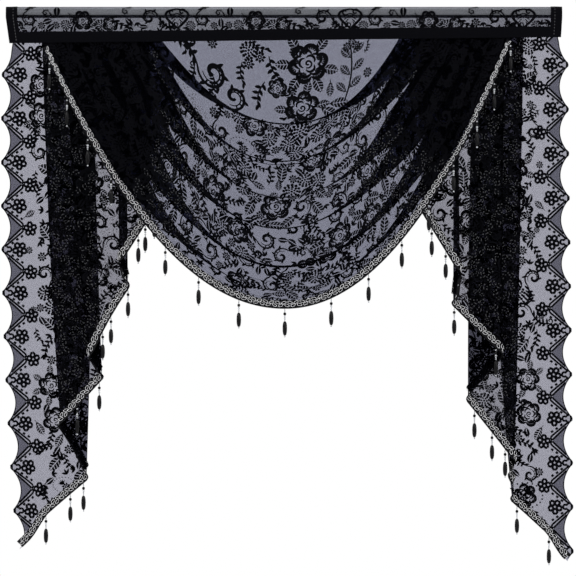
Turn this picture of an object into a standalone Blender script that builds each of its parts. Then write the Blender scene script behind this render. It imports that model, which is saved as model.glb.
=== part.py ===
"""Lace window swag on a slim rod: a heading with a rod pocket, a draped swag, two cascade tails and beaded braid.

The row origin is on the rod's axis, halfway along it. +Z is up and the face side of the cloth looks to -Y.
Lengths in the tables are in millimetres: x from the middle of the rod, drop downwards from the rod's axis.
"""

import math
from collections import namedtuple

import bmesh
import bpy
import numpy as np
from mathutils import Vector

MM = 0.001
SMOOTH_ANGLE = math.radians(50.0)
NUDGE = 0.01

# Plain colours
ROD_COLOUR = (0.55, 0.55, 0.57)
ROD_ROUGHNESS = 0.35
ROD_METAL = 0.9
HEADING_SHADE = 0.012
SWAG_SHADE = 0.014
TAIL_SHADE = 0.016
BLUE_SHARE = 1.5
CLOTH_ROUGHNESS = 0.8
BRAID_COLOUR = (0.03, 0.03, 0.03)
BRAID_ROUGHNESS = 0.4
BRAID_METAL = 0.3

# Rod and heading
ROD_RADIUS = 12.5
ROD_HALF_LENGTH = 670.0
ROD_CHAMFER = 1.0
POCKET_CLEARANCE = 0.5
POCKET_SIDES = 32
HEADING_CLOTH = 1.5
HEADING_HALF_LENGTH = 682.0
HEADING_DROP_LEFT = 76.0
HEADING_DROP_RIGHT = 61.0
HEADING_SLANT_LEFT = 13.0
HEADING_SLANT_RIGHT = 4.0
SEAM_BAND_HEIGHT = 27.0
SEAM_BAND_STEP = 0.8
PIECE_GAP = 0.35

# Cloth
CLOTH = 1.5
SEAM_DROP = 46.5
SEAM_Y = -ROD_RADIUS - POCKET_CLEARANCE + PIECE_GAP + CLOTH / 2

# Swag: one row for each fold, from the seam at the heading down to the hem.
# left and right are where the fold meets the seam, low is the x of its lowest point and drop its depth there.
# lap is how far the cloth runs back over itself at the crease, and depth how far the fold stands out.
SwagFold = namedtuple("SwagFold", "name left low right drop lap_left lap_mid lap_right depth")
SWAG_FOLDS = (
    SwagFold("seam", -286.0, 0.0, 279.0, SEAM_DROP, 0.0, 0.0, 0.0, 8.0),
    SwagFold("first", -310.0, 10.0, 300.0, 273.0, 13.0, 26.0, 12.0, 13.0),
    SwagFold("second", -345.0, -10.0, 360.0, 366.0, 14.0, 17.0, 15.0, 15.0),
    SwagFold("third", -386.0, -4.0, 405.0, 454.0, 13.0, 14.0, 15.0, 12.0),
    SwagFold("fourth", -431.0, -10.0, 449.0, 530.0, 15.0, 16.0, 13.0, 14.0),
    SwagFold("fifth", -481.0, -5.0, 491.0, 623.0, 15.0, 15.0, 14.0, 15.0),
    SwagFold("sixth", -546.0, 0.0, 529.0, 682.0, 13.0, 10.0, 13.0, 11.0),
    SwagFold("hem", -606.0, 2.0, 566.0, 724.0, 0.0, 0.0, 0.0, 8.0),
)
SWAG_SAG_POWER = 2.05
SWAG_PLEAT_DEPTH = 6.0
SWAG_LAP_FULL_FROM = 0.7
SWAG_LAP_FADES = (6.15, 6.65)
SWAG_LAP_LIMIT = 0.40
SWAG_BULGE = (4.0, 26.0, 38.0, 44.0, 48.0, 47.0, 40.0, 34.0)
SWAG_FREE_DROP = 92.0
SWAG_FULL_DROP = 260.0
SWAG_STEPS_ACROSS = 30
SWAG_CORNER_CROWDING = 1.6
SWAG_SEAM_STEPS = (0.0, 0.45)
SWAG_HEM_STEP = 0.5
FOLD_STEPS = (-0.27, -0.19, -0.10, 0.10, 0.19, 0.27, 0.5)

# Tails: one row for each turn of the cloth, from the inner edge to the scalloped outer edge.
# top, mid and hem are the x of the fold at the seam, half way down and at the hem, and drop is the hem's depth.
TailFold = namedtuple("TailFold", "name top mid hem drop")
LEFT_TAIL_FOLDS = (
    TailFold("inner_edge", -330.0, -326.0, -321.0, 488.0),
    TailFold("small_pleat_outer", -412.0, -409.0, -402.0, 622.0),
    TailFold("small_pleat_inner", -385.0, -385.0, -383.0, 668.0),
    TailFold("front_outer", -530.0, -517.0, -474.0, 856.0),
    TailFold("front_inner", -468.0, -461.0, -447.0, 892.0),
    TailFold("middle_outer", -593.0, -578.0, -549.0, 1020.0),
    TailFold("middle_inner", -466.0, -472.0, -486.0, 1138.0),
    TailFold("outer_edge", -688.0, -693.0, -659.0, 1300.0),
)
RIGHT_TAIL_FOLDS = (
    TailFold("inner_edge", 318.0, 330.0, 338.0, 488.0),
    TailFold("small_pleat_inner", 424.0, 428.0, 431.0, 648.0),
    TailFold("small_pleat_outer", 412.0, 415.0, 415.0, 712.0),
    TailFold("front_outer", 540.0, 537.0, 533.0, 842.0),
    TailFold("middle_inner", 466.0, 455.0, 452.0, 945.0),
    TailFold("middle_outer", 587.0, 580.0, 566.0, 1112.0),
    TailFold("back_inner", 517.0, 512.0, 556.0, 1192.0),
    TailFold("outer_edge", 695.0, 706.0, 712.0, 1338.0),
)
TailCut = namedtuple("TailCut", "name folds side tip_drop tip_pitch forward_from forward_to")
LEFT_TAIL = TailCut("left_tail", LEFT_TAIL_FOLDS, -1.0, 152.0, 107.0, 0.60, 0.84)
RIGHT_TAIL = TailCut("right_tail", RIGHT_TAIL_FOLDS, 1.0, 128.0, 108.5, 0.43, 0.80)
SCALLOP_COUNT = 11
SCALLOP_DEPTH = 23.0
SCALLOP_TIP_SHARE = 0.09
SCALLOP_ROUNDNESS = 0.7
SCALLOP_STEPS = (0.09, 0.17, 0.32, 0.5, 0.68, 0.83, 0.91)
EDGE_MARGIN = 0.03
BORDER_START = 0.84
LAST_RUN_SHARES = (0.0, 0.4)
TURN_SHARE = 0.10
STACK_Y = 2.2
STACK_TOP_STEP = 2.6
STACK_LOW_STEP = 10.0
STACK_OPEN_FROM = 60.0
STACK_OPEN_TO = 420.0
OUTER_SHIFT_LOW = 22.0

# Braid and bead drops
BRAID_WIDTH = 20.0
BRAID_THICKNESS = 2.0
BRAID_GAP = 0.9
BRAID_OVERHANG = 2.0
BRAID_SLOPE_LIMIT = 1.9
BRAID_RUN_FLOOR = 20.0
BRAID_END_MARGIN = 0.02
DROP_ROOT = 2.4
BeadRing = namedtuple("BeadRing", "down half")
BEAD_RINGS = (
    BeadRing(9.0, 1.2),
    BeadRing(11.0, 3.2),
    BeadRing(16.0, 3.2),
    BeadRing(18.0, 1.2),
    BeadRing(31.0, 1.6),
    BeadRing(38.0, 5.2),
    BeadRing(61.0, 5.2),
    BeadRing(70.0, 1.6),
)
# x of each drop; on a tail, the run of cloth that it hangs from comes first.
SWAG_DROPS = (-573.0, -529.0, -478.0, -421.0, -289.0, -208.0, -110.0, 2.0, 115.0, 206.0, 287.0, 353.0, 413.0,
              470.0, 513.0, 554.0)
LEFT_TAIL_DROPS = ((0, -325.0), (0, -347.0), (0, -364.0), (2, -390.0), (2, -431.0), (2, -451.0), (4, -460.0),
                   (4, -514.0), (6, -500.0), (6, -532.0), (6, -593.0))
RIGHT_TAIL_DROPS = ((0, 370.0), (0, 404.0), (2, 424.0), (2, 526.0), (4, 475.0), (4, 518.0), (4, 550.0),
                    (6, 581.0), (6, 660.0))


def remove_scene_objects():
    """Empty the scene, so that the script can be run again."""
    for thing in list(bpy.data.objects):
        bpy.data.objects.remove(thing, do_unlink=True)


def plain_material(name, colour, roughness, metallic=0.0):
    """A Principled material of one colour."""
    material = bpy.data.materials.new(name)
    material.use_nodes = True
    shader = material.node_tree.nodes["Principled BSDF"]
    shader.inputs["Base Color"].default_value = (*colour, 1.0)
    shader.inputs["Roughness"].default_value = roughness
    shader.inputs["Metallic"].default_value = metallic
    return material


def smoothstep(low, high, value):
    """0 below low, 1 above high and a soft step between."""
    share = min(1.0, max(0.0, (value - low) / (high - low)))
    return share * share * (3.0 - 2.0 * share)


def curve_value(values, place):
    """Value at a place along evenly spaced values, on a Catmull-Rom curve that runs straight on past its ends."""
    last = len(values) - 1
    index = min(last - 1, max(0, int(math.floor(place))))
    share = place - index
    start, end = values[index], values[index + 1]
    if share < 0.0 or share > 1.0:
        return start + (end - start) * share
    before = values[index - 1] if index > 0 else 2.0 * start - end
    after = values[index + 2] if index + 2 <= last else 2.0 * end - start
    slope_in = (end - before) / 2.0
    slope_out = (after - start) / 2.0
    bend = 3.0 * (end - start) - 2.0 * slope_in - slope_out
    twist = 2.0 * (start - end) + slope_in + slope_out
    return start + share * (slope_in + share * (bend + share * twist))


def fold_value(folds, field, place):
    """Value of one column of a fold table at a place between its rows."""
    return curve_value([getattr(fold, field) for fold in folds], place)


def new_object(name, mesh_builder, material):
    """Object made from a bmesh whose units are millimetres."""
    bmesh.ops.scale(mesh_builder, vec=(MM, MM, MM), verts=mesh_builder.verts)
    bmesh.ops.recalc_face_normals(mesh_builder, faces=mesh_builder.faces)
    mesh = bpy.data.meshes.new(name)
    mesh_builder.to_mesh(mesh)
    mesh_builder.free()
    mesh.shade_smooth()
    mesh.set_sharp_from_angle(angle=SMOOTH_ANGLE)
    mesh.materials.append(material)
    thing = bpy.data.objects.new(name, mesh)
    bpy.context.scene.collection.objects.link(thing)
    return thing


def new_sheet(name, mesh_builder, thickness, material):
    """Object made from a sheet of faces, with a modifier that gives it half its thickness on each side."""
    mesh_builder.normal_update()
    bmesh.ops.triangulate(mesh_builder, faces=mesh_builder.faces, ngon_method="EAR_CLIP")
    thing = new_object(name, mesh_builder, material)
    solidify = thing.modifiers.new("cloth thickness", "SOLIDIFY")
    solidify.thickness = thickness * MM
    solidify.offset = 0.0
    solidify.use_rim = True
    solidify.use_even_offset = False
    return thing


def add_grid(mesh_builder, rows):
    """Vertices and quads of a grid of points, which is returned as rows of vertices."""
    grid = [[mesh_builder.verts.new(point) for point in row] for row in rows]
    for upper, lower in zip(grid, grid[1:]):
        for i in range(len(upper) - 1):
            mesh_builder.faces.new((upper[i], lower[i], lower[i + 1], upper[i + 1]))
    return grid


def build_rod(material):
    """Slim rod with softened ends, along X."""
    builder = bmesh.new()
    sections = (
        (-ROD_HALF_LENGTH, ROD_RADIUS - ROD_CHAMFER),
        (-ROD_HALF_LENGTH + ROD_CHAMFER, ROD_RADIUS),
        (ROD_HALF_LENGTH - ROD_CHAMFER, ROD_RADIUS),
        (ROD_HALF_LENGTH, ROD_RADIUS - ROD_CHAMFER),
    )
    rings = []
    for x, radius in sections:
        angles = [math.tau * i / POCKET_SIDES for i in range(POCKET_SIDES)]
        rings.append([builder.verts.new((x, radius * math.cos(a), radius * math.sin(a))) for a in angles])
    for ring, following in zip(rings, rings[1:]):
        for i in range(POCKET_SIDES):
            j = (i + 1) % POCKET_SIDES
            builder.faces.new((ring[i], ring[j], following[j], following[i]))
    builder.faces.new(list(reversed(rings[0])))
    builder.faces.new(rings[-1])
    return new_object("curtain_rod", builder, material)


def heading_outline(bottom_drop):
    """Section of the heading: a sleeve round the rod, and one flat layer that hangs from the sleeve's front."""
    inner = ROD_RADIUS + POCKET_CLEARANCE
    outer = inner + HEADING_CLOTH
    front = -outer
    back = front + HEADING_CLOTH
    step_drop = bottom_drop - SEAM_BAND_HEIGHT
    meet = math.atan2(-math.sqrt(outer * outer - back * back), back)
    sleeve = []
    for i in range(POCKET_SIDES + 1):
        angle = math.pi + (meet - math.pi) * i / POCKET_SIDES
        sleeve.append((outer * math.cos(angle), outer * math.sin(angle)))
    band_front = front - SEAM_BAND_STEP
    flat = [
        (back, -bottom_drop),
        (band_front, -bottom_drop),
        (band_front, -step_drop - SEAM_BAND_STEP),
        (front, -step_drop),
    ]
    hole = [
        (inner * math.cos(math.tau * i / POCKET_SIDES), inner * math.sin(math.tau * i / POCKET_SIDES))
        for i in range(POCKET_SIDES)
    ]
    return sleeve + flat, hole


def heading_end(side):
    """Points of one end of the heading, outline and pocket hole, with the lower corner drawn in."""
    drop = HEADING_DROP_LEFT if side < 0 else HEADING_DROP_RIGHT
    slant = HEADING_SLANT_LEFT if side < 0 else HEADING_SLANT_RIGHT
    outline, hole = heading_outline(drop)

    def place(point):
        y, z = point
        drawn_in = slant * max(0.0, -z - ROD_RADIUS) / drop
        return (side * (HEADING_HALF_LENGTH - drawn_in), y, z)

    return [place(p) for p in outline], [place(p) for p in hole]


def build_heading(material):
    """Heading strip: rod pocket, flat strip and doubled seam band in one piece."""
    builder = bmesh.new()
    ends = []
    for side in (-1.0, 1.0):
        outline, hole = heading_end(side)
        ends.append(([builder.verts.new(p) for p in outline], [builder.verts.new(p) for p in hole]))
    for loop_a, loop_b in zip(ends[0], ends[1]):
        for i in range(len(loop_a)):
            j = (i + 1) % len(loop_a)
            builder.faces.new((loop_a[i], loop_a[j], loop_b[j], loop_b[i]))
    for outline, hole in ends:
        edges = []
        for loop in (outline, hole):
            for i in range(len(loop)):
                edges.append(builder.edges.get((loop[i], loop[(i + 1) % len(loop)])))
        bmesh.ops.triangle_fill(builder, edges=edges, use_beauty=True)
    return new_object("heading", builder, material)


def swag_base(u, t):
    """Point in the XZ plane on the swag's fold lines, u from -1 to 1 along a fold and t down through the folds."""
    low = fold_value(SWAG_FOLDS, "low", t)
    corner = fold_value(SWAG_FOLDS, "left" if u < 0.0 else "right", t)
    drop = fold_value(SWAG_FOLDS, "drop", t)
    along = abs(u)
    x = low + (corner - low) * along
    z = -(drop - (drop - SEAM_DROP) * along ** SWAG_SAG_POWER)
    return x, z


def swag_point(u, t):
    """Point on the middle of the swag's cloth."""
    x, z = swag_base(u, t)
    x_next, z_next = swag_base(u, t + NUDGE)
    step = math.hypot(x_next - x, z_next - z)
    strength = smoothstep(0.0, SWAG_LAP_FULL_FROM, t) * (1.0 - smoothstep(*SWAG_LAP_FADES, t))
    hanging = smoothstep(SWAG_FREE_DROP, SWAG_FULL_DROP, -z)
    side_lap = fold_value(SWAG_FOLDS, "lap_left" if u < 0.0 else "lap_right", t)
    mid_lap = fold_value(SWAG_FOLDS, "lap_mid", t)
    lap = min(SWAG_LAP_LIMIT * step / NUDGE, mid_lap + (side_lap - mid_lap) * u * u) * strength
    stand = SWAG_PLEAT_DEPTH + (fold_value(SWAG_FOLDS, "depth", t) - SWAG_PLEAT_DEPTH) * hanging
    wave = math.sin(math.tau * t)
    back = lap * wave / step
    bulge = curve_value(SWAG_BULGE, t - wave / math.tau) * hanging
    y = SEAM_Y + stand * strength * (1.0 + wave ** 3) - bulge
    return Vector((x - back * (x_next - x), y, z - back * (z_next - z)))


def swag_steps_down():
    """Places down through the folds: close together at each crease."""
    places = list(SWAG_SEAM_STEPS)
    for crease in range(1, len(SWAG_FOLDS) - 1):
        places.extend(crease + step for step in FOLD_STEPS)
    hem = len(SWAG_FOLDS) - 1.0
    return places[:-1] + [hem - SWAG_HEM_STEP, hem]


def swag_steps_across():
    """Places along a fold from -1 to 1, closer together near the corners."""
    half = SWAG_STEPS_ACROSS // 2
    right = [1.0 - (1.0 - i / half) ** SWAG_CORNER_CROWDING for i in range(1, half + 1)]
    return [-u for u in reversed(right)] + [0.0] + right


def build_swag(material):
    """Draped panel, pleated into the seam at both ends."""
    across = swag_steps_across()
    rows = [[swag_point(u, t) for u in across] for t in swag_steps_down()]
    builder = bmesh.new()
    add_grid(builder, rows)
    return new_sheet("swag_panel", builder, CLOTH, material)


def tail_fold_x(cut, index, drop):
    """x of one fold of a tail at a depth below the rod."""
    fold = cut.folds[index]
    share = (drop - SEAM_DROP) / (fold.drop - SEAM_DROP)
    bow = fold.mid - (fold.top + fold.hem) / 2.0
    return fold.top + (fold.hem - fold.top) * share + 4.0 * bow * share * (1.0 - share)


def stack_step(drop):
    """Distance between two runs of a tail's cloth, which open out below the seam."""
    return STACK_TOP_STEP + (STACK_LOW_STEP - STACK_TOP_STEP) * smoothstep(STACK_OPEN_FROM, STACK_OPEN_TO, drop)


def tail_hem(cut, c):
    """Depth of the hem at a place across the cloth, where whole numbers are the folds."""
    drops = [fold.drop for fold in cut.folds]
    return float(np.interp(c, range(len(drops)), drops))


def scallop(cut, drop):
    """How far the outer edge is cut in at a depth: concave arcs between blunt tips."""
    phase = ((drop - cut.tip_drop) / cut.tip_pitch) % 1.0
    arc = (phase - SCALLOP_TIP_SHARE / 2.0) / (1.0 - SCALLOP_TIP_SHARE)
    if arc <= 0.0 or arc >= 1.0:
        return 0.0
    return SCALLOP_DEPTH * math.sin(math.pi * arc) ** SCALLOP_ROUNDNESS


def tail_point(cut, c, drop):
    """Point on the middle of a tail's cloth, c across the cut from fold to fold and drop down from the rod."""
    runs = len(cut.folds) - 1
    run = min(runs - 1, max(0, int(math.floor(c))))
    share = c - run
    step = stack_step(drop)
    radius = step / 2.0
    start = tail_fold_x(cut, run, drop)
    end = tail_fold_x(cut, run + 1, drop)
    way = math.copysign(1.0, end - start)
    y = STACK_Y + run * step
    inset_start = 0.0 if run == 0 else radius * (1.0 - math.cos(min(1.0, share / TURN_SHARE) * math.pi / 2.0))
    inset_end = 0.0
    if run < runs - 1:
        inset_end = radius * (1.0 - math.cos(min(1.0, (1.0 - share) / TURN_SHARE) * math.pi / 2.0))
    if run > 0 and share < TURN_SHARE:
        x = start + way * inset_start
        y -= radius * (1.0 - math.sin(share / TURN_SHARE * math.pi / 2.0))
    elif run < runs - 1 and share > 1.0 - TURN_SHARE:
        x = end - way * inset_end
        y += radius * (1.0 - math.sin((1.0 - share) / TURN_SHARE * math.pi / 2.0))
    else:
        first = TURN_SHARE if run > 0 else 0.0
        final = 1.0 - TURN_SHARE if run < runs - 1 else 1.0
        inner = (share - first) / (final - first)
        from_x = start + way * (radius if run > 0 else 0.0)
        to_x = end - way * (radius if run < runs - 1 else 0.0)
        x = from_x + (to_x - from_x) * inner
    if run == runs - 1:
        seam_shift = STACK_Y + run * STACK_TOP_STEP - SEAM_Y
        shift = seam_shift + (OUTER_SHIFT_LOW - seam_shift) * smoothstep(STACK_OPEN_FROM, STACK_OPEN_TO, drop)
        y -= shift * smoothstep(cut.forward_from, cut.forward_to, share)
    return Vector((x, y, -drop))


def tail_columns(cut):
    """Places across the cloth: three at each turn, and one or two along each run."""
    runs = len(cut.folds) - 1
    places = [0.0, 0.5]
    for turn in range(1, runs):
        places.extend((turn - TURN_SHARE, turn, turn + TURN_SHARE))
        if turn < runs - 1:
            places.append(turn + 0.5)
    forward = cut.forward_to - cut.forward_from
    places += [runs - 1 + cut.forward_from + forward * share for share in LAST_RUN_SHARES]
    return sorted(places + [runs - 1 + BORDER_START])


def tail_rows(cut):
    """Shares of the way down, one at each scallop tip of the outer edge."""
    full = cut.folds[-1].drop - SEAM_DROP
    tips = [(cut.tip_drop + i * cut.tip_pitch - SEAM_DROP) / full for i in range(SCALLOP_COUNT)]
    return [0.0] + tips + [1.0]


def tail_at(cut, c, share):
    """Point on a thread of the tail at a share of the way from the seam to the hem."""
    return tail_point(cut, c, SEAM_DROP + (tail_hem(cut, c) - SEAM_DROP) * share)


def border_point(cut, drop):
    """Point of the outer edge at a depth, cut in by the scallop along a straight line to the border's inner side."""
    outer = len(cut.folds) - 1.0
    tip = tail_point(cut, outer, drop)
    inner = tail_point(cut, outer - 1.0 + BORDER_START, drop)
    return tip.lerp(inner, scallop(cut, drop) / (inner - tip).length)


def scalloped_edge(cut, rows, inner, tips):
    """Points of the outer edge between two rows, on the flat patch between the border's inner side and the tips."""
    upper, lower = rows
    points = []
    for tip in range(-1, SCALLOP_COUNT):
        for phase in SCALLOP_STEPS:
            drop = cut.tip_drop + (tip + phase) * cut.tip_pitch
            share = (drop - upper) / (lower - upper)
            if EDGE_MARGIN < share < 1.0 - EDGE_MARGIN:
                near = inner[0].lerp(inner[1], share)
                far = tips[0].lerp(tips[1], share)
                points.append(far.lerp(near, scallop(cut, drop) / (near - far).length))
    return points


def build_tail(cut, material):
    """Cascade tail: a panel in back-and-forth runs, with a slanted hem and a scalloped outer edge."""
    shares = tail_rows(cut)
    builder = bmesh.new()
    grid = add_grid(builder, [[tail_at(cut, c, share) for c in tail_columns(cut)] for share in shares])
    drops = [SEAM_DROP + (cut.folds[-1].drop - SEAM_DROP) * share for share in shares]
    tips = [tail_point(cut, len(cut.folds) - 1.0, drop) for drop in drops]
    edge = [builder.verts.new(border_point(cut, drop)) for drop in drops]
    for row in range(len(shares) - 1):
        inner = [grid[row][-1], grid[row + 1][-1]]
        places = [vertex.co for vertex in inner]
        arc = scalloped_edge(cut, drops[row:row + 2], places, tips[row:row + 2])
        arc = [builder.verts.new(point) for point in arc]
        builder.faces.new([inner[1], inner[0], edge[row]] + arc + [edge[row + 1]])
    return new_sheet(cut.name, builder, CLOTH, material)


def braid_station(low, high, normal):
    """Four corners of the braid at one place, given its lower and upper edge on the cloth and the face normal."""
    near = CLOTH / 2.0 + BRAID_GAP
    far = near + BRAID_THICKNESS
    return [high + normal * near, low + normal * near, low + normal * far, high + normal * far]


def add_bead_drop(builder, root):
    """A thread with a small bead and a long bead, drawn down from a root face of the braid."""
    corners = [vertex.co.copy() for vertex in root]
    centre = sum(corners, Vector()) / len(corners)
    lowest = min(corner.z for corner in corners)
    out = corners[1] - corners[0]
    out.z = 0.0
    out.normalize()
    across = Vector((-out.y, out.x, 0.0))
    if across.dot(corners[3] - corners[0]) < 0.0:
        across.negate()
    directions = (-out - across, out - across, out + across, across - out)
    ring = list(root)
    for bead in BEAD_RINGS:
        middle = Vector((centre.x, centre.y, lowest - bead.down))
        following = [builder.verts.new(middle + direction * bead.half) for direction in directions]
        for i in range(4):
            j = (i + 1) % 4
            builder.faces.new((ring[i], ring[j], following[j], following[i]))
        ring = following
    builder.faces.new(ring)


def spot_at_x(stations, x, first, last):
    """Where the braid's lower edge passes a given x, as a station index and a share of the way to the next."""
    for index in range(first, last):
        start, end = stations[index][1].x, stations[index + 1][1].x
        if min(start, end) <= x <= max(start, end):
            return index, (x - start) / (end - start)
    raise ValueError(f"no braid at x = {x}")


def with_roots(stations, spots):
    """Stations with a narrow pair added at each spot, and the indices at which those pairs start."""
    widened, roots = [], set()
    for index, station in enumerate(stations):
        widened.append(station)
        shares = sorted(share for spot, share in spots if spot == index)
        for share in shares:
            following = stations[index + 1]
            half = DROP_ROOT / 2.0 / (following[1] - station[1]).length
            share = min(1.0 - 2.0 * half, max(2.0 * half, share))
            roots.add(len(widened))
            for place in (share - half, share + half):
                widened.append([a.lerp(b, place) for a, b in zip(station, following)])
    return widened, roots


def build_trim(name, stations, spots, material):
    """Braid along a list of stations, with a bead drop at each spot."""
    stations, roots = with_roots(stations, spots)
    builder = bmesh.new()
    rings = [[builder.verts.new(point) for point in station] for station in stations]
    for index, (ring, following) in enumerate(zip(rings, rings[1:])):
        for i in range(4):
            j = (i + 1) % 4
            if i == 1 and index in roots:
                add_bead_drop(builder, (ring[i], ring[j], following[j], following[i]))
            else:
                builder.faces.new((ring[i], ring[j], following[j], following[i]))
    builder.faces.new(rings[0])
    builder.faces.new(rings[-1])
    return new_object(name, builder, material)


def swag_braid_station(u):
    """Braid corners at one place along the swag's hem."""
    hem = len(SWAG_FOLDS) - 1.0
    edge = swag_point(u, hem)
    down = edge - swag_point(u, hem - SWAG_HEM_STEP)
    along = (swag_point(u + NUDGE, hem) - swag_point(u - NUDGE, hem)).normalized()
    normal = along.cross(down).normalized()
    if normal.y > 0.0:
        normal.negate()
    outward = down - along * along.dot(down)
    outward.normalize()
    return braid_station(edge + outward * BRAID_OVERHANG, edge - outward * (BRAID_WIDTH - BRAID_OVERHANG), normal)


def swag_braid_end(side):
    """Place along the swag's hem where the braid starts, just under the heading's lower edge."""
    bottom = (HEADING_DROP_LEFT if side < 0 else HEADING_DROP_RIGHT) + PIECE_GAP
    drop = SWAG_FOLDS[-1].drop
    share = (drop - bottom - BRAID_WIDTH / 2.0) / (drop - SEAM_DROP)
    return side * share ** (1.0 / SWAG_SAG_POWER)


def build_swag_trim(material):
    """Braid along the swag's lower edge, with its bead drops."""
    first, last = swag_braid_end(-1.0), swag_braid_end(1.0)
    inside = [u for u in swag_steps_across() if first + BRAID_END_MARGIN < u < last - BRAID_END_MARGIN]
    places = [first] + inside + [last]
    stations = [swag_braid_station(u) for u in places]
    spots = [spot_at_x(stations, x, 0, len(stations) - 1) for x in SWAG_DROPS]
    return build_trim("swag_trim", stations, spots, material)


def hem_slope(cut, run):
    """How steeply the hem falls along one run of a tail."""
    a, b = cut.folds[run], cut.folds[run + 1]
    return min(BRAID_SLOPE_LIMIT, abs(b.drop - a.drop) / max(BRAID_RUN_FLOOR, abs(b.hem - a.hem)))


def tail_braid_station(cut, c):
    """Braid corners at one place along a tail's hem."""
    runs = len(cut.folds) - 1
    slope = float(np.interp(c, [run + 0.5 for run in range(runs)], [hem_slope(cut, run) for run in range(runs)]))
    stretch = math.sqrt(1.0 + slope * slope)
    hem = tail_hem(cut, c)
    inner = min(runs - NUDGE, max(NUDGE, c))
    along = tail_point(cut, inner + NUDGE, hem) - tail_point(cut, inner - NUDGE, hem)
    down = Vector((0.0, 0.0, -1.0))
    normal = along.cross(down).normalized() * -cut.side
    low_drop = hem + BRAID_OVERHANG * stretch
    high_drop = hem - (BRAID_WIDTH - BRAID_OVERHANG) * stretch
    if c >= runs:
        return braid_station(border_point(cut, low_drop), border_point(cut, high_drop), normal)
    return braid_station(tail_point(cut, c, low_drop), tail_point(cut, c, high_drop), normal)


def build_tail_trim(cut, drops, material):
    """Braid along a tail's hem, round its folds, with its bead drops."""
    columns = tail_columns(cut) + [len(cut.folds) - 1.0]
    stations = [tail_braid_station(cut, c) for c in columns]
    spots = []
    for run, x in drops:
        first = columns.index(run) + (run > 0)
        last = columns.index(run + 1) - (run < len(cut.folds) - 2)
        spots.append(spot_at_x(stations, x, first, last))
    return build_trim(cut.name + "_trim", stations, spots, material)


def lace_cloth(name, shade):
    """Plain dark cloth, a little bluish."""
    return plain_material(name, (shade, shade, shade * BLUE_SHARE), CLOTH_ROUGHNESS)


def braid_cloth(name):
    """Plain dark braid with a slight metallic sheen."""
    return plain_material(name, BRAID_COLOUR, BRAID_ROUGHNESS, BRAID_METAL)


def main():
    """Build every piece."""
    remove_scene_objects()
    build_rod(plain_material("rod_metal", ROD_COLOUR, ROD_ROUGHNESS, ROD_METAL))
    build_heading(lace_cloth("heading_lace", HEADING_SHADE))
    build_swag(lace_cloth("swag_lace", SWAG_SHADE))
    build_tail(LEFT_TAIL, lace_cloth("left_tail_lace", TAIL_SHADE))
    build_tail(RIGHT_TAIL, lace_cloth("right_tail_lace", TAIL_SHADE))
    build_swag_trim(braid_cloth("swag_braid"))
    build_tail_trim(LEFT_TAIL, LEFT_TAIL_DROPS, braid_cloth("left_braid"))
    build_tail_trim(RIGHT_TAIL, RIGHT_TAIL_DROPS, braid_cloth("right_braid"))


main()
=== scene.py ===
"""Looks of a black lace window swag: a rod-pocket heading, a draped swag, two cascade tails and beaded braid.

Every length is in millimetres until a mesh is made. x runs along the rod from its middle, drop runs down from
the rod's axis, and the face side of the cloth looks to -Y.
"""

import logging
import math
from dataclasses import dataclass, field
from enum import Enum
from typing import Callable, Sequence

import bpy
import numpy as np
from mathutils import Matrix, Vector


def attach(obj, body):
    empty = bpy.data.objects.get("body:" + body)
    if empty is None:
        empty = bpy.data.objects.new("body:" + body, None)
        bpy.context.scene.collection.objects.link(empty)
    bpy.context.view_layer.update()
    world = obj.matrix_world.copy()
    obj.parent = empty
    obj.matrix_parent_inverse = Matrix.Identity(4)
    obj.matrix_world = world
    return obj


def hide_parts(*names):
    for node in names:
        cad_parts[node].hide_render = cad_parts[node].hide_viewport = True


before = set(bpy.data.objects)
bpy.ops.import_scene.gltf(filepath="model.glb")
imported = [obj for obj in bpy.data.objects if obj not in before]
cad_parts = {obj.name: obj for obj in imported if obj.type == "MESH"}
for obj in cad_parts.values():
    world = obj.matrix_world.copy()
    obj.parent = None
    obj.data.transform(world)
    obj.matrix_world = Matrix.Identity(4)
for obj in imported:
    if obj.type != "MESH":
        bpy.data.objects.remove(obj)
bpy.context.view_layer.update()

LOG = logging.getLogger("lace_swag")
MM = 0.001
BODY = "root"
NUDGE = 0.01

ROD_RADIUS = 12.5
SLEEVE_RADIUS = 13.8
HEADING_HALF_LENGTH = 682.0
HEADING_DROP_LEFT = 76.0
HEADING_DROP_RIGHT = 61.0
SEAM_DROP = 46.5
SEAM_Y = -11.9


def smoothstep(low: float, high: float, value: np.ndarray) -> np.ndarray:
    """Return 0 below low, 1 above high and a soft step between."""
    share = np.clip((value - low) / (high - low), 0.0, 1.0)
    return share * share * (3.0 - 2.0 * share)


def curve(values: Sequence[float], place: np.ndarray) -> np.ndarray:
    """Read a smooth curve through evenly spaced values.

    Args:
        values: the values, one for each whole number from 0.
        place: where to read, which may lie past either end.

    Returns:
        The values there, on a Catmull-Rom curve that runs straight on past its ends.
    """
    table = np.asarray(values, float)
    padded = np.concatenate(([2 * table[0] - table[1]], table, [2 * table[-1] - table[-2]]))
    index = np.clip(np.floor(place).astype(int), 0, len(table) - 2)
    share = place - index
    before, start, end, after = (padded[index + step] for step in range(4))
    slope_in = (end - before) / 2.0
    slope_out = (after - start) / 2.0
    bend = 3.0 * (end - start) - 2.0 * slope_in - slope_out
    twist = 2.0 * (start - end) + slope_in + slope_out
    inside = start + share * (slope_in + share * (bend + share * twist))
    return np.where((share < 0.0) | (share > 1.0), start + (end - start) * share, inside)
def unit(vectors: np.ndarray) -> np.ndarray:
    """Return the vectors in the last axis, each made one long."""
    return vectors / np.maximum(np.linalg.norm(vectors, axis=-1, keepdims=True), 1e-9)


def polar(radius: float, degrees: float) -> np.ndarray:
    """Return the flat point at a distance and an angle from the middle."""
    angle = math.radians(degrees)
    return np.array([radius * math.cos(angle), radius * math.sin(angle)])


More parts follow.
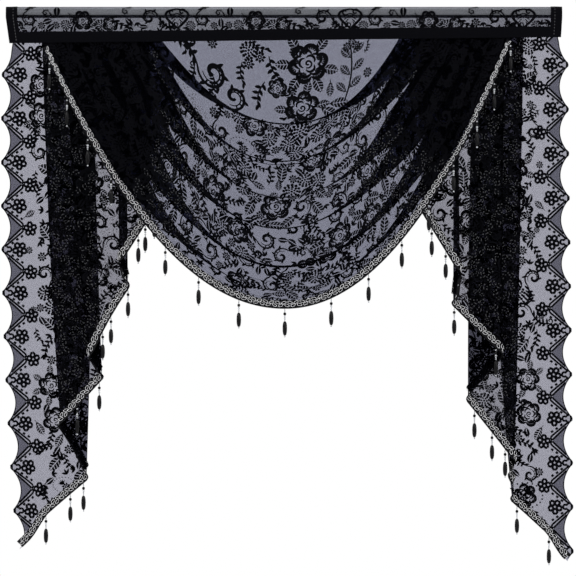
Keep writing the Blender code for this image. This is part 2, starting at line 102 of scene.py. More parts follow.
def turned(points: Sequence[Sequence[float]], degrees: float, size: float) -> tuple[np.ndarray, np.ndarray]:
    """Return x and y of flat points that are resized and turned about the middle."""
    flat = np.asarray(points, float) * size
    c, s = math.cos(math.radians(degrees)), math.sin(math.radians(degrees))
    return flat[:, 0] * c - flat[:, 1] * s, flat[:, 0] * s + flat[:, 1] * c


def ladder(count: int) -> list[tuple[int, int, int, int]]:
    """Return the quads between two lines of as many points, the first line numbered before the second."""
    return [(i, i + 1, count + i + 1, count + i) for i in range(count - 1)]


class Nodes:
    """Short helper that adds and links shader nodes of one material."""

    def __init__(self, name: str) -> None:
        """Start an empty node tree."""
        self.material = bpy.data.materials.new(name)
        self.material.use_nodes = True
        self.tree = self.material.node_tree
        self.tree.nodes.clear()

    def add(self, kind: str, inputs: dict | None = None, **settings: object) -> bpy.types.Node:
        """Add a node.

        Args:
            kind: the node's type.
            inputs: a value, or the socket to link, for each input's name or number.
            settings: attributes of the node.

        Returns:
            The node.
        """
        node = self.tree.nodes.new(kind)
        for name, value in settings.items():
            setattr(node, name, value)
        for name, value in (inputs or {}).items():
            if isinstance(value, bpy.types.NodeSocket):
                self.tree.links.new(value, node.inputs[name])
            else:
                node.inputs[name].default_value = value
        return node

    def object_place(self) -> bpy.types.NodeSocket:
        """Return the place on the object."""
        return self.add("ShaderNodeTexCoord").outputs["Object"]

    def maths(self, operation: str, *values: object) -> bpy.types.NodeSocket:
        """Return the output of a Math node."""
        return self.add("ShaderNodeMath", dict(enumerate(values)), operation=operation).outputs[0]

    def scaled(self, vector: object, scale: object) -> bpy.types.NodeSocket:
        """Return a vector or colour times a number."""
        return self.add("ShaderNodeVectorMath", {0: vector, "Scale": scale}, operation="SCALE").outputs[0]

    def dot(self, place: object, direction: object) -> bpy.types.NodeSocket:
        """Return the dot product of a place and a direction."""
        found = self.add("ShaderNodeVectorMath", {0: place, 1: direction}, operation="DOT_PRODUCT")
        return found.outputs["Value"]

    def noise(self, place: object, scale: float, detail: float, output: str = "Fac") -> bpy.types.NodeSocket:
        """Return one output of a noise texture."""
        inputs = {"Vector": place, "Scale": scale, "Detail": detail}
        return self.add("ShaderNodeTexNoise", inputs).outputs[output]

    def ramp(self, value: object, low: float, high: float, start: float, end: float) -> bpy.types.NodeSocket:
        """Return a value between low and high, mapped to run from start to end."""
        spans = {"From Min": low, "From Max": high, "To Min": start, "To Max": end}
        return self.add("ShaderNodeMapRange", {"Value": value, **spans}).outputs[0]

    def bump(self, height: object, strength: float, distance: float = 0.0003) -> bpy.types.NodeSocket:
        """Return the normal over a height map; the distance is in metres."""
        inputs = {"Strength": strength, "Distance": distance, "Height": height}
        return self.add("ShaderNodeBump", inputs).outputs["Normal"]

    def principled(self, colour: object, roughness: object, **more: object) -> bpy.types.NodeSocket:
        """Return a Principled shader; an underscore in a further input's name stands for a space."""
        inputs = {"Base Color": colour, "Roughness": roughness}
        inputs |= {name.replace("_", " "): value for name, value in more.items()}
        return self.add("ShaderNodeBsdfPrincipled", inputs).outputs[0]

    def finish(self, shader: bpy.types.NodeSocket) -> bpy.types.Material:
        """Link the shader to the output and return the material."""
        self.add("ShaderNodeOutputMaterial", {"Surface": shader})
        return self.material


@dataclass(frozen=True)
class NetFinish:
    """Fine sheer net: black threads in three directions with open holes between, darker where the cloth turns
    edge-on to the view, which is partly the denser look of net seen edge-on and partly painted crease shade.
    """

    name: str
    hole_light: float
    thread_share: float
    tint: tuple[float, float, float]
    thread_light: float = 0.04
    thread_colour: tuple[float, float, float, float] = (0.002, 0.002, 0.004, 1.0)
    thread_cover: float = 0.3
    thread_edge: float = 0.15
    pitch_mm: float = 1.3
    # How strongly turning edge-on darkens the net: partly the denser look of net seen edge-on, partly painted
    # crease shade.
    edge_on_darkening: float = 2.2
    wander_mm: float = 1.2
    wander_scale: float = 70.0

    def build(self) -> bpy.types.Material:
        """Make the material; its net follows the UV map, which is in metres of cloth."""
        nodes = Nodes(self.name)
        cloth = nodes.add("ShaderNodeUVMap").outputs["UV"]
        wander = nodes.scaled(nodes.noise(cloth, self.wander_scale, 1.0, "Color"), self.wander_mm * MM)
        place = nodes.add("ShaderNodeVectorMath", {0: cloth, 1: wander}, operation="ADD").outputs[0]
        covered = self.threads(nodes, place)
        light = nodes.ramp(covered, 0.0, 1.0, self.hole_light, self.thread_light)
        # Darker where the cloth turns edge-on: partly the denser look of net seen edge-on, partly painted
        # crease shade.
        density_and_shade = nodes.add("ShaderNodeAttribute", attribute_name="density_and_shade").outputs["Fac"]
        passed = nodes.maths("POWER", light, nodes.maths("MULTIPLY_ADD", density_and_shade, self.edge_on_darkening, 1.0))
        hole = nodes.add("ShaderNodeBsdfTransparent", {"Color": nodes.scaled(self.tint, passed)})
        normal = nodes.bump(covered, 0.3)
        thread = nodes.principled(self.thread_colour, 0.8, Specular_IOR_Level=0.02, Normal=normal)
        share = nodes.maths("MULTIPLY", covered, self.thread_cover)
        mix = nodes.add("ShaderNodeMixShader", {0: share, 1: hole.outputs[0], 2: thread})
        return nodes.finish(mix.outputs[0])

    def threads(self, nodes: Nodes, place: bpy.types.NodeSocket) -> bpy.types.NodeSocket:
        """Return 1 on a thread and 0 in a hole, with a soft edge."""
        covered = None
        share = 1.0 - (1.0 - self.thread_share) ** (1.0 / 3.0)
        limit = math.cos(math.pi * share)
        for degrees in (0.0, 60.0, 120.0):
            direction = polar(math.tau / (self.pitch_mm * MM), degrees)
            wave = nodes.maths("COSINE", nodes.dot(place, (*direction, 0.0)))
            strand = nodes.ramp(wave, limit - self.thread_edge, limit + self.thread_edge, 0.0, 1.0)
            covered = strand if covered is None else nodes.maths("MAXIMUM", covered, strand)
        return covered


@dataclass(frozen=True)
class MotifFinish:
    """Dense black thread of the lace's flowers, with a fine stripe of stitches."""

    name: str
    dark: float = 0.0004
    pale: float = 0.0030
    stitch_mm: float = 1.1
    tint: tuple[float, float, float] = (0.8, 0.82, 1.3)

    def build(self) -> bpy.types.Material:
        """Make the material."""
        nodes = Nodes(self.name)
        place = nodes.add("ShaderNodeUVMap").outputs["UV"]
        frequency = math.tau / (self.stitch_mm * MM)
        stripe = nodes.maths("SINE", nodes.dot(place, (frequency, frequency * 0.4, 0.0)))
        height = nodes.maths("MULTIPLY_ADD", stripe, 0.5, nodes.noise(place, 900.0, 2.0))
        colour = nodes.scaled(self.tint, nodes.ramp(height, -0.3, 1.2, self.dark, self.pale))
        normal = nodes.bump(height, 0.5)
        return nodes.finish(nodes.principled(colour, 0.7, Specular_IOR_Level=0.02, Normal=normal))


@dataclass(frozen=True)
class HighlightAndStitchFinish(MotifFinish):
    """A lighter copy of the same thread: painted highlight where it lies in front of many dark layers, and the
    pale stitches' own colour on the heading's hems.
    """

    dark: float = 0.003
    # Lighter colour: painted highlight on the flecks, and the stitches' own pale colour.
    pale: float = 0.075
    tint: tuple[float, float, float] = (1.0, 1.0, 1.08)


@dataclass(frozen=True)
class YarnFinish:
    """Twisted cord or braid yarn, dull black or metallic silver."""

    name: str
    colour: tuple[float, float, float]
    metallic: float
    roughness: float
    specular: float = 0.5
    twist_scale: float = 1400.0

    def build(self) -> bpy.types.Material:
        """Make the material."""
        nodes = Nodes(self.name)
        place = nodes.object_place()
        twist_inputs = {"Vector": place, "Scale": self.twist_scale, "Distortion": 1.5}
        twist = nodes.add("ShaderNodeTexWave", twist_inputs, bands_direction="DIAGONAL").outputs["Fac"]
        colour = nodes.scaled(self.colour, nodes.ramp(nodes.noise(place, 260.0, 3.0), 0.3, 0.7, 0.7, 1.15))
        more = {"Metallic": self.metallic, "Specular_IOR_Level": self.specular}
        return nodes.finish(nodes.principled(colour, self.roughness, Normal=nodes.bump(twist, 0.4), **more))


@dataclass(frozen=True)
class BeadFinish:
    """Polished bead, black or clear."""

    name: str
    colour: tuple[float, float, float]
    transmission: float
    roughness: float
    specular: float = 0.5

    def build(self) -> bpy.types.Material:
        """Make the material, with faint streaks so that no two sides are quite alike."""
        nodes = Nodes(self.name)
        streak = nodes.noise(nodes.object_place(), 180.0, 2.0)
        rough = nodes.ramp(streak, 0.3, 0.7, self.roughness * 0.7, self.roughness * 1.5)
        more = {"Transmission_Weight": self.transmission, "Specular_IOR_Level": self.specular}
        return nodes.finish(nodes.principled((*self.colour, 1.0), rough, **more))


@dataclass(frozen=True)
class RodFinish:
    """Drawn metal tube with fine lines along it."""

    name: str = "drawn_rod_metal"
    colour: tuple[float, float, float] = (0.60, 0.61, 0.57)
    line_scale: tuple[float, float, float] = (6.0, 900.0, 900.0)

    def build(self) -> bpy.types.Material:
        """Make the material."""
        nodes = Nodes(self.name)
        stretched = nodes.add("ShaderNodeMapping", {"Vector": nodes.object_place(), "Scale": self.line_scale})
        lines = nodes.noise(stretched.outputs[0], 1.0, 3.0)
        rough = nodes.ramp(lines, 0.3, 0.7, 0.3, 0.48)
        normal = nodes.bump(lines, 0.15, 0.0002)
        return nodes.finish(nodes.principled((*self.colour, 1.0), rough, Metallic=0.35, Normal=normal))
class MeshMaker:
    """Collects points and faces in millimetres and makes one object of them."""

    def __init__(self) -> None:
        """Start with no points."""
        self.points: list[np.ndarray] = []
        self.faces: list[tuple[int, ...]] = []
        self.uvs: list[np.ndarray] = []
        self.count = 0

    def add(self, points: np.ndarray, faces: Sequence[Sequence[int]], uvs: np.ndarray | None = None) -> None:
        """Add some points and the faces between them, numbered from 0.

        Args:
            points: n rows of x, y and z.
            faces: point numbers of each face.
            uvs: n rows of two numbers in millimetres of cloth, or None to use x and z.
        """
        points = np.asarray(points, float)
        self.points.append(points)
        self.uvs.append(points[:, (0, 2)] if uvs is None else np.asarray(uvs, float))
        self.faces.extend(tuple(self.count + i for i in face) for face in faces)
        self.count += len(points)

    def grid(self, points: np.ndarray, uvs: np.ndarray | None = None, closed: bool = False) -> None:
        """Add a sheet of quads.

        Args:
            points: rows by columns by 3.
            uvs: rows by columns by 2, or None.
            closed: whether the last column joins the first.
        """
        rows, columns = points.shape[:2]
        spans = columns if closed else columns - 1
        faces = []
        for row in range(rows - 1):
            for column in range(spans):
                following = (column + 1) % columns
                a, b = row * columns + column, row * columns + following
                faces.append((a, a + columns, b + columns, b))
        self.add(points.reshape(-1, 3), faces, None if uvs is None else uvs.reshape(-1, 2))

    def build(
        self,
        name: str,
        material: bpy.types.Material,
        slot: str,
        replaces: Sequence[str] = (),
        density_and_shade: np.ndarray | None = None,
    ) -> bpy.types.Object:
        """Make the object.

        Args:
            name: the piece's name.
            material: its finish.
            slot: the record's material slot; not used.
            replaces: CAD nodes that it stands for, if any.
            density_and_shade: how far the net is darkened at each point, from 0 to 1, or None; partly the
                denser look of net seen edge-on, partly painted crease shade.

        Returns:
            The object, riding on the body.
        """
        mesh = bpy.data.meshes.new(name)
        mesh.from_pydata(np.concatenate(self.points) * MM, [], self.faces)
        corners = np.empty(len(mesh.loops), np.int32)
        mesh.loops.foreach_get("vertex_index", corners)
        layer = mesh.uv_layers.new(name="UVMap")
        layer.data.foreach_set("uv", (np.concatenate(self.uvs) * MM)[corners].astype(np.float32).ravel())
        if density_and_shade is not None:
            layer = mesh.attributes.new("density_and_shade", "FLOAT", "POINT")
            layer.data.foreach_set("value", density_and_shade.astype(np.float32).ravel())
        mesh.shade_smooth()
        mesh.materials.append(material)
        piece = bpy.data.objects.new(name, mesh)
        bpy.context.scene.collection.objects.link(piece)
        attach(piece, BODY)
        if replaces:
            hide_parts(*replaces)
        LOG.info("%s: %d faces", name, len(mesh.polygons))
        return piece


class ClothGrid:
    """A sheet as a fine grid of points, with tables that turn lengths on the cloth into places in it."""

    def __init__(self, points: np.ndarray, zero_column: int = 0) -> None:
        """Measure the grid.

        Args:
            points: rows by columns by 3; rows run down the cloth, and columns across it.
            zero_column: the column from which lengths across the cloth are measured.
        """
        self.points = points
        self.rows, self.columns = points.shape[:2]
        self.down = self._lengths(points, 0)
        self.across = self._lengths(points, 1)
        self.across = self.across - self.across[:, zero_column : zero_column + 1]
        self.normals = unit(np.cross(np.gradient(points, axis=0), np.gradient(points, axis=1)))

    @staticmethod
    def _lengths(points: np.ndarray, axis: int) -> np.ndarray:
        """Return the running length along one axis of the grid."""
        steps = np.linalg.norm(np.diff(points, axis=axis), axis=2)
        start = np.zeros_like(np.take(steps, [0], axis=axis))
        return np.concatenate((start, np.cumsum(steps, axis=axis)), axis=axis)

    def read(self, table: np.ndarray, row: np.ndarray, column: np.ndarray) -> np.ndarray:
        """Read a table of the grid between its points.

        Args:
            table: rows by columns of numbers or points.
            row: rows to read at.
            column: columns to read at.

        Returns:
            What the table holds there.
        """
        r = np.clip(np.floor(row).astype(int), 0, self.rows - 2)
        c = np.clip(np.floor(column).astype(int), 0, self.columns - 2)
        fr = np.clip(row - r, 0.0, 1.0)
        fc = np.clip(column - c, 0.0, 1.0)
        if table.ndim == 3:
            fr, fc = fr[..., None], fc[..., None]
        upper = table[r, c] * (1.0 - fc) + table[r, c + 1] * fc
        lower = table[r + 1, c] * (1.0 - fc) + table[r + 1, c + 1] * fc
        return upper * (1.0 - fr) + lower * fr

    def lifted(self, row: np.ndarray, column: np.ndarray, proud: float | np.ndarray) -> np.ndarray:
        """Return points of the cloth, raised above its middle by a height."""
        return self.read(self.points, row, column) + self.read(self.normals, row, column) * proud

    def nearest(
        self, x: float, drop: float, reach: float = 4.0, depth_weight: float = 0.2
    ) -> tuple[float, float]:
        """Find the foremost place of the cloth that shows at a place in the front view.

        Args:
            x: the place in the view.
            drop: its depth below the rod.
            reach: how much further off than the nearest point a place may be.
            depth_weight: how much a millimetre towards the back counts beside one in the view.

        Returns:
            The row and column.
        """
        away = np.hypot(self.points[..., 0] - x, self.points[..., 2] + drop)
        cost = np.where(away <= away.min() + reach, self.points[..., 1] * depth_weight + away, np.inf)
        row, column = np.unravel_index(np.argmin(cost), cost.shape)
        return float(row), float(column)

    def uvs(self) -> np.ndarray:
        """Return the cloth's own lengths across and down at each point."""
        return np.stack((self.across, self.down), axis=2)

    def density_and_shade(self) -> np.ndarray:
        """Return how far the cloth turns edge-on to the view at each point, from 0 to 1; the net is darkened by
        it, partly for the denser look of net seen edge-on and partly as painted crease shade.
        """
        return smoothstep(0.30, 1.0, 1.0 - np.abs(self.normals[..., 1]))

    def area(self) -> float:
        """Return the area in square metres."""
        p = self.points
        first = np.cross(p[1:, :-1] - p[:-1, :-1], p[:-1, 1:] - p[:-1, :-1])
        second = np.cross(p[1:, :-1] - p[1:, 1:], p[:-1, 1:] - p[1:, 1:])
        doubled = (np.linalg.norm(first, axis=2) + np.linalg.norm(second, axis=2)).sum()
        return float(doubled) / 2.0 * MM * MM


@dataclass
class Stencil:
    """Flat shapes of dense thread, in millimetres about their own middle: x across and y down the cloth."""

    points: list[tuple[float, float]] = field(default_factory=list)
    faces: list[tuple[int, ...]] = field(default_factory=list)
    line_boldness: float = 1.28
    blade_boldness: float = 1.15
    blade_foot: float = 0.15

    def strip(self, left: np.ndarray, right: np.ndarray) -> None:
        """Fill the band between two lines of as many points."""
        start = len(self.points)
        for a, b in zip(left, right):
            self.points += [(float(a[0]), float(a[1])), (float(b[0]), float(b[1]))]
        for i in range(len(left) - 1):
            a = start + 2 * i
            self.faces.append((a, a + 1, a + 3, a + 2))

    def line(self, path: np.ndarray, width: float, taper: float = 0.0) -> None:
        """Draw a line.

        Args:
            path: n rows of x and y.
            width: its width.
            taper: how much of the width is lost at both ends, from 0 to 1.
        """
        path = np.asarray(path, float)
        along = unit(np.gradient(path, axis=0))
        side = np.stack((-along[:, 1], along[:, 0]), axis=1)
        share = np.linspace(0.0, 1.0, len(path))
        half = self.line_boldness * width / 2.0 * (1.0 - taper * (1.0 - np.sin(math.pi * share) ** 0.6))
        self.strip(path - side * half[:, None], path + side * half[:, None])

    def blade(
        self, start: Sequence[float], angle: float, length: float, width: float, bend: float = 0.0
    ) -> None:
        """Draw a leaf or petal.

        Args:
            start: the point that it grows from.
            angle: its direction, in degrees.
            length: its length.
            width: its width.
            bend: how far it curls over its length, in radians.
        """
        steps = max(4, int(length / 5.0) + 2)
        share = np.linspace(0.0, 1.0, steps)
        heading = math.radians(angle) + bend * share
        step = np.stack((np.cos(heading), np.sin(heading)), axis=1) * length / (steps - 1)
        spine = np.asarray(start, float) + np.concatenate(([[0.0, 0.0]], np.cumsum(step[:-1], axis=0)))
        side = np.stack((-np.sin(heading), np.cos(heading)), axis=1)
        swell = np.sin(math.pi * (0.08 + 0.88 * share) ** 0.85) ** 0.7
        half = self.blade_boldness * width / 2.0 * np.maximum(self.blade_foot, swell)
        self.strip(spine - side * half[:, None], spine + side * half[:, None])

    def petals(self, count: int, radius: float, length: float, width: float, first: float = 0.0) -> None:
        """Draw a ring of blades that point outwards, the first at an angle in degrees."""
        for i in range(count):
            angle = 360.0 * i / count + first
            self.blade(polar(radius, angle), angle, length, width)

    def crescent(
        self, centre: Sequence[float], radius: float, middle: float, sweep: float, width: float
    ) -> None:
        """Draw an arc that is thick in its middle, about an angle in degrees."""
        self.line(arc(centre, radius, radius, middle - sweep / 2.0, middle + sweep / 2.0), width, 0.8)

    def dot(self, x: float, y: float, radius: float) -> None:
        """Draw a round dot."""
        start = len(self.points)
        angles = [math.tau * i / 8 for i in range(8)]
        self.points += [(x + radius * math.cos(a), y + radius * math.sin(a)) for a in angles]
        self.faces.append(tuple(range(start, start + 8)))

    def add(
        self, other: "Stencil", middle: Sequence[float] = (0.0, 0.0), turn: float = 0.0, size: float = 1.0
    ) -> None:
        """Add a copy of another drawing, turned by degrees, resized and moved to a middle."""
        start = len(self.points)
        x, y = turned(other.points, turn, size)
        self.points += [(middle[0] + px, middle[1] + py) for px, py in zip(x, y)]
        self.faces += [tuple(start + i for i in face) for face in other.faces]


def arc(
    centre: Sequence[float], rx: float, ry: float, start: float, end: float, spacing: float = 20.0
) -> np.ndarray:
    """Return points along part of an ellipse, from one angle in degrees to another."""
    steps = max(3, int(abs(end - start) / spacing) + 1)
    angles = np.radians(np.linspace(start, end, steps))
    return np.stack((centre[0] + rx * np.cos(angles), centre[1] + ry * np.sin(angles)), axis=1)


def spiral(centre: Sequence[float], inner: float, outer: float, start: float, end: float) -> np.ndarray:
    """Return points along a spiral that opens from one angle in degrees to another."""
    steps = int(abs(end - start) / 15.0) + 1
    share = np.linspace(0.0, 1.0, steps)
    angles = np.radians(start + (end - start) * share)
    radius = inner + (outer - inner) * share ** 1.2
    return np.stack((centre[0] + radius * np.cos(angles), centre[1] + radius * np.sin(angles)), axis=1)


def draw_rose() -> Stencil:
    """Open rose: a spiral heart and three rows of lapped petals, the outer two hatched from their rims."""
    shape = Stencil()
    shape.line(spiral((0, 0), 1.5, 9.0, 20, 470), 3.0, 0.4)
    rows = ((3, 8.0, 9.0, 4.0, 0), (5, 15.0, 12.0, 5.2, 3), (6, 22.5, 14.0, 7.0, 5))
    for count, radius, reach, width, hatches in rows:
        for i in range(count):
            angle = 360.0 * i / count + radius * 7.0 + 6.0 * (i % 2)
            centre = polar(radius, angle)
            shape.crescent(centre, reach, angle, 185.0, width)
            for k in range(hatches):
                out = angle + 26.0 * (k - (hatches - 1) / 2.0)
                shape.blade(centre + polar(reach, out), out + 180.0, 8.5, 3.2)
    return shape


def draw_leafy_rose() -> Stencil:
    """Rose with a ring of broad leaves."""
    shape = draw_rose()
    for angle in (15.0, 60.0, 118.0, 170.0, 228.0, 300.0):
        shape.add(draw_leaf(), polar(48.0, angle), angle, 0.62)
    return shape


def draw_mum() -> Stencil:
    """Small full flower with three rows of short petals."""
    shape = Stencil()
    shape.dot(0.0, 0.0, 3.0)
    for count, radius, length, width in ((6, 4.4, 5.6, 4.4), (9, 9.4, 6.2, 5.6), (12, 14.4, 7.0, 6.8)):
        shape.petals(count, radius, length, width, radius * 9.0)
    return shape


def draw_daisy() -> Stencil:
    """Small open daisy with a ring at its middle."""
    shape = Stencil()
    shape.line(arc((0, 0), 3.2, 3.2, 0, 360, 45), 2.4)
    shape.petals(8, 5.2, 7.2, 5.2)
    return shape

def draw_border_flower() -> Stencil:
    """Five petals drawn as rings about a light middle."""
    shape, petal = Stencil(), Stencil()
    petal.line(arc((11.2, 0.0), 6.2, 5.7, 0, 360, 36), 4.9)
    for i in range(5):
        shape.add(petal, turn=72.0 * i + 20.0)
    return shape


def draw_leaf() -> Stencil:
    """Broad leaf: two halves cut into lobes by light veins, on either side of a light midrib."""
    shape = Stencil()
    lobes = 6
    for side in (-1.0, 1.0):
        for i in range(lobes):
            share = (i + np.array([0.08, 0.5, 0.86])) / lobes
            inner = np.stack((-32.0 + 60.0 * share, np.full(3, side * 1.3)), axis=1)
            reach = 1.5 + 14.5 * np.sin(math.pi * np.minimum(1.0, share + 0.04) ** 0.9)
            outer = np.stack((-32.0 + 60.0 * share + reach * 0.45, side * reach), axis=1)
            shape.strip(inner, outer)
    shape.line(np.array([[-44.0, 2.0], [-38.0, 0.5], [-32.0, 0.0], [-24.0, 0.0]]), 2.4)
    return shape


def draw_leaflet() -> Stencil:
    """Small leaf of two solid halves."""
    shape = Stencil()
    share = np.linspace(0.0, 1.0, 4)
    for side in (-1.0, 1.0):
        inner = np.stack((-11.0 + 22.0 * share, np.full(4, side * 0.8)), axis=1)
        outer = np.stack((-11.0 + 22.0 * share, side * (1.2 + 5.4 * np.sin(math.pi * share**0.9))), axis=1)
        shape.strip(inner, outer)
    return shape


def draw_bud() -> Stencil:
    """Three small petals that open from one point."""
    shape = Stencil()
    for angle in (-48.0, 0.0, 48.0):
        shape.blade((-5.0, 0.0), angle, 12.0, 4.4)
    return shape


def draw_sprig() -> Stencil:
    """Curved stem with small leaves on both sides."""
    shape = Stencil()
    share = np.linspace(0.0, 1.0, 9)
    stem = np.stack((-28.0 + 52.0 * share, 9.0 * np.sin(share * 2.6)), axis=1)
    shape.line(stem, 2.4, 0.3)
    for i in range(1, 8):
        side = -1.0 if i % 2 else 1.0
        shape.blade(stem[i], 22.0 + side * 55.0, 13.5, 6.6)
    shape.blade(stem[-1], 10.0, 14.0, 6.6)
    return shape


def draw_scroll() -> Stencil:
    """Leafy C-scroll drawn with double lines, hatching between them and leaves on its outer side."""
    shape = Stencil()
    outer = spiral((0, 0), 4.0, 27.0, 60, 520)
    inner = spiral((0, 0), 2.0, 18.0, 60, 505)
    shape.line(outer, 4.4, 0.4)
    shape.line(inner, 2.2, 0.4)
    for i in range(8, len(inner) - 2, 2):
        shape.line(np.linspace(inner[i], outer[i], 3), 2.4)
    for i in range(14, len(outer) - 1, 4):
        away = math.degrees(math.atan2(outer[i][1], outer[i][0]))
        shape.blade(outer[i], away + 38.0, 11.0, 5.2, -0.5)
    end = outer[-1]
    share = np.linspace(0.0, 1.0, 12)
    tail = np.stack((end[0] - 54.0 * share, end[1] - 16.0 * np.sin(2.6 * share)), axis=1)
    shape.line(tail, 4.4, 0.5)
    for i in range(2, 11):
        shape.blade(tail[i], -62.0 if i % 2 else 66.0, 11.0 + (i % 3) * 2.5, 5.6)
    shape.line(spiral(tail[-1] + np.array([0.0, 7.0]), 2.0, 8.0, -90, 250), 3.0, 0.5)
    return shape


def draw_branch() -> Stencil:
    """Bough with pairs of broad leaves."""
    shape = Stencil()
    share = np.linspace(0.0, 1.0, 14)
    stem = np.stack((8.0 * np.sin(share * 3.0), 48.0 - 96.0 * share), axis=1)
    shape.line(stem, 2.6, 0.3)
    leaf = draw_leaf()
    for i, side in ((2, -1.0), (3, 1.0), (6, -1.0), (7, 1.0), (10, -1.0), (11, 1.0)):
        angle = -90.0 + side * 50.0
        shape.add(leaf, stem[i] + polar(18.0, angle), angle, 0.44)
    shape.add(leaf, stem[-1] - (0.0, 12.0), -90.0, 0.42)
    return shape


def draw_dotted_ring() -> Stencil:
    """Oval ring of dots round a daisy and a small fan of leaves."""
    shape = Stencil()
    for x, y in arc((0, 0), 34.0, 24.0, 0, 344, 16):
        shape.dot(x, y, 1.8)
    shape.add(draw_daisy(), (6.0, 6.0), 10.0, 1.1)
    for i in range(5):
        shape.blade((-4.0, -2.0), 190.0 + 26.0 * i, 14.0, 4.2)
    return shape


def draw_heart() -> Stencil:
    """Two scrolls that meet in the shape of a heart, with lattice between them."""
    shape = Stencil()
    for side in (-1.0, 1.0):
        share = np.linspace(0.0, 1.0, 14)
        bow = np.stack((side * 24.0 * np.sin(math.pi * share ** 0.62), -18.0 + 42.0 * share), axis=1)
        shape.line(bow, 4.4, 0.3)
        shape.line(spiral((side * 11.0, -11.0), 1.5, 8.0, 0.0, side * 330.0), 2.8, 0.5)
        for i in range(4):
            lattice = np.array([[side * 2.0 * i, -8.0 + 6.0 * i], [side * (15.0 - 2.0 * i), -2.0 + 7.0 * i]])
            shape.line(lattice, 1.6)
    return shape


def draw_fleck() -> Stencil:
    """A few short curved threads, laid in the lighter thread as painted highlight."""
    shape = Stencil()
    shape.line(arc((0.0, 0.0), 4.4, 3.2, 15, 105, 40), 1.2, 0.4)
    shape.line(np.array([[2.0, -3.5], [4.4, -4.4]]), 1.6)
    shape.line(np.array([[-6.2, 1.0], [-4.6, 2.6]]), 1.8)
    shape.line(np.array([[-2.6, -3.0], [-1.4, -4.4]]), 1.2)
    return shape


def draw_omega() -> Stencil:
    """Ring at the tip of a scallop, open towards the tip, with short feet."""
    shape = Stencil()
    ring = arc((0, 0), 4.8, 5.6, 48, 312)
    shape.line(np.concatenate(([[6.4, 7.6]], ring, [[6.4, -7.6]])), 4.0)
    return shape


class Motif(Enum):
    """The lace's named motifs: how each is drawn, and the room that it takes about its middle."""

    ROSE = (draw_rose, 34.0)
    LEAFY_ROSE = (draw_leafy_rose, 60.0)
    MUM = (draw_mum, 19.0)
    DAISY = (draw_daisy, 12.0)
    BORDER_FLOWER = (draw_border_flower, 17.0)
    LEAF = (draw_leaf, 26.0)
    LEAFLET = (draw_leaflet, 9.0)
    BUD = (draw_bud, 7.0)
    SPRIG = (draw_sprig, 20.0)
    SCROLL = (draw_scroll, 34.0)
    BRANCH = (draw_branch, 42.0)
    DOTTED_RING = (draw_dotted_ring, 34.0)
    HEART = (draw_heart, 26.0)
    OMEGA = (draw_omega, 9.0)
    FLECK = (draw_fleck, 6.0)

    def __init__(self, draw: Callable[[], Stencil], room: float) -> None:
        """Draw the motif once."""
        self.stencil = draw()
        self.room = room


@dataclass(frozen=True)
class Spot:
    """Where one motif lies: its middle, its turn in degrees and its size.

    x is a place in the front view, or the distance in from the line of a tail's tips. drop is the depth below
    the rod.
    """

    motif: Motif
    x: float
    drop: float
    turn: float
    size: float


def spots(*rows: tuple[str, float, float, float, float]) -> tuple[Spot, ...]:
    """Return spots from rows of a motif's name, the two places, the turn and the size."""
    return tuple(Spot(Motif[name], *rest) for name, *rest in rows)


@dataclass(frozen=True)
class Filler:
    """A motif that fills open ground: its size, the room that it takes and how often it is tried."""

    motif: Motif
    size: float
    room: float
    tries: int


FILLERS = (
    Filler(Motif.LEAFY_ROSE, 0.86, 44.0, 120),
    Filler(Motif.SCROLL, 0.95, 27.0, 300),
    Filler(Motif.ROSE, 0.82, 25.0, 460),
    Filler(Motif.MUM, 0.95, 16.5, 900),
    Filler(Motif.LEAF, 0.78, 14.5, 2200),
    Filler(Motif.SPRIG, 0.84, 12.5, 2800),
    Filler(Motif.DAISY, 0.98, 10.0, 3200),
    Filler(Motif.LEAFLET, 1.15, 6.8, 6500),
    Filler(Motif.BUD, 1.15, 5.0, 6500),
)
# Flecks in the lighter thread: painted highlight on cloth that lies in front of dark layers.
PAINTED_HIGHLIGHT_FILLERS = (
    Filler(Motif.FLECK, 1.25, 6.5, 5000),
    Filler(Motif.FLECK, 0.85, 4.6, 9000),
)


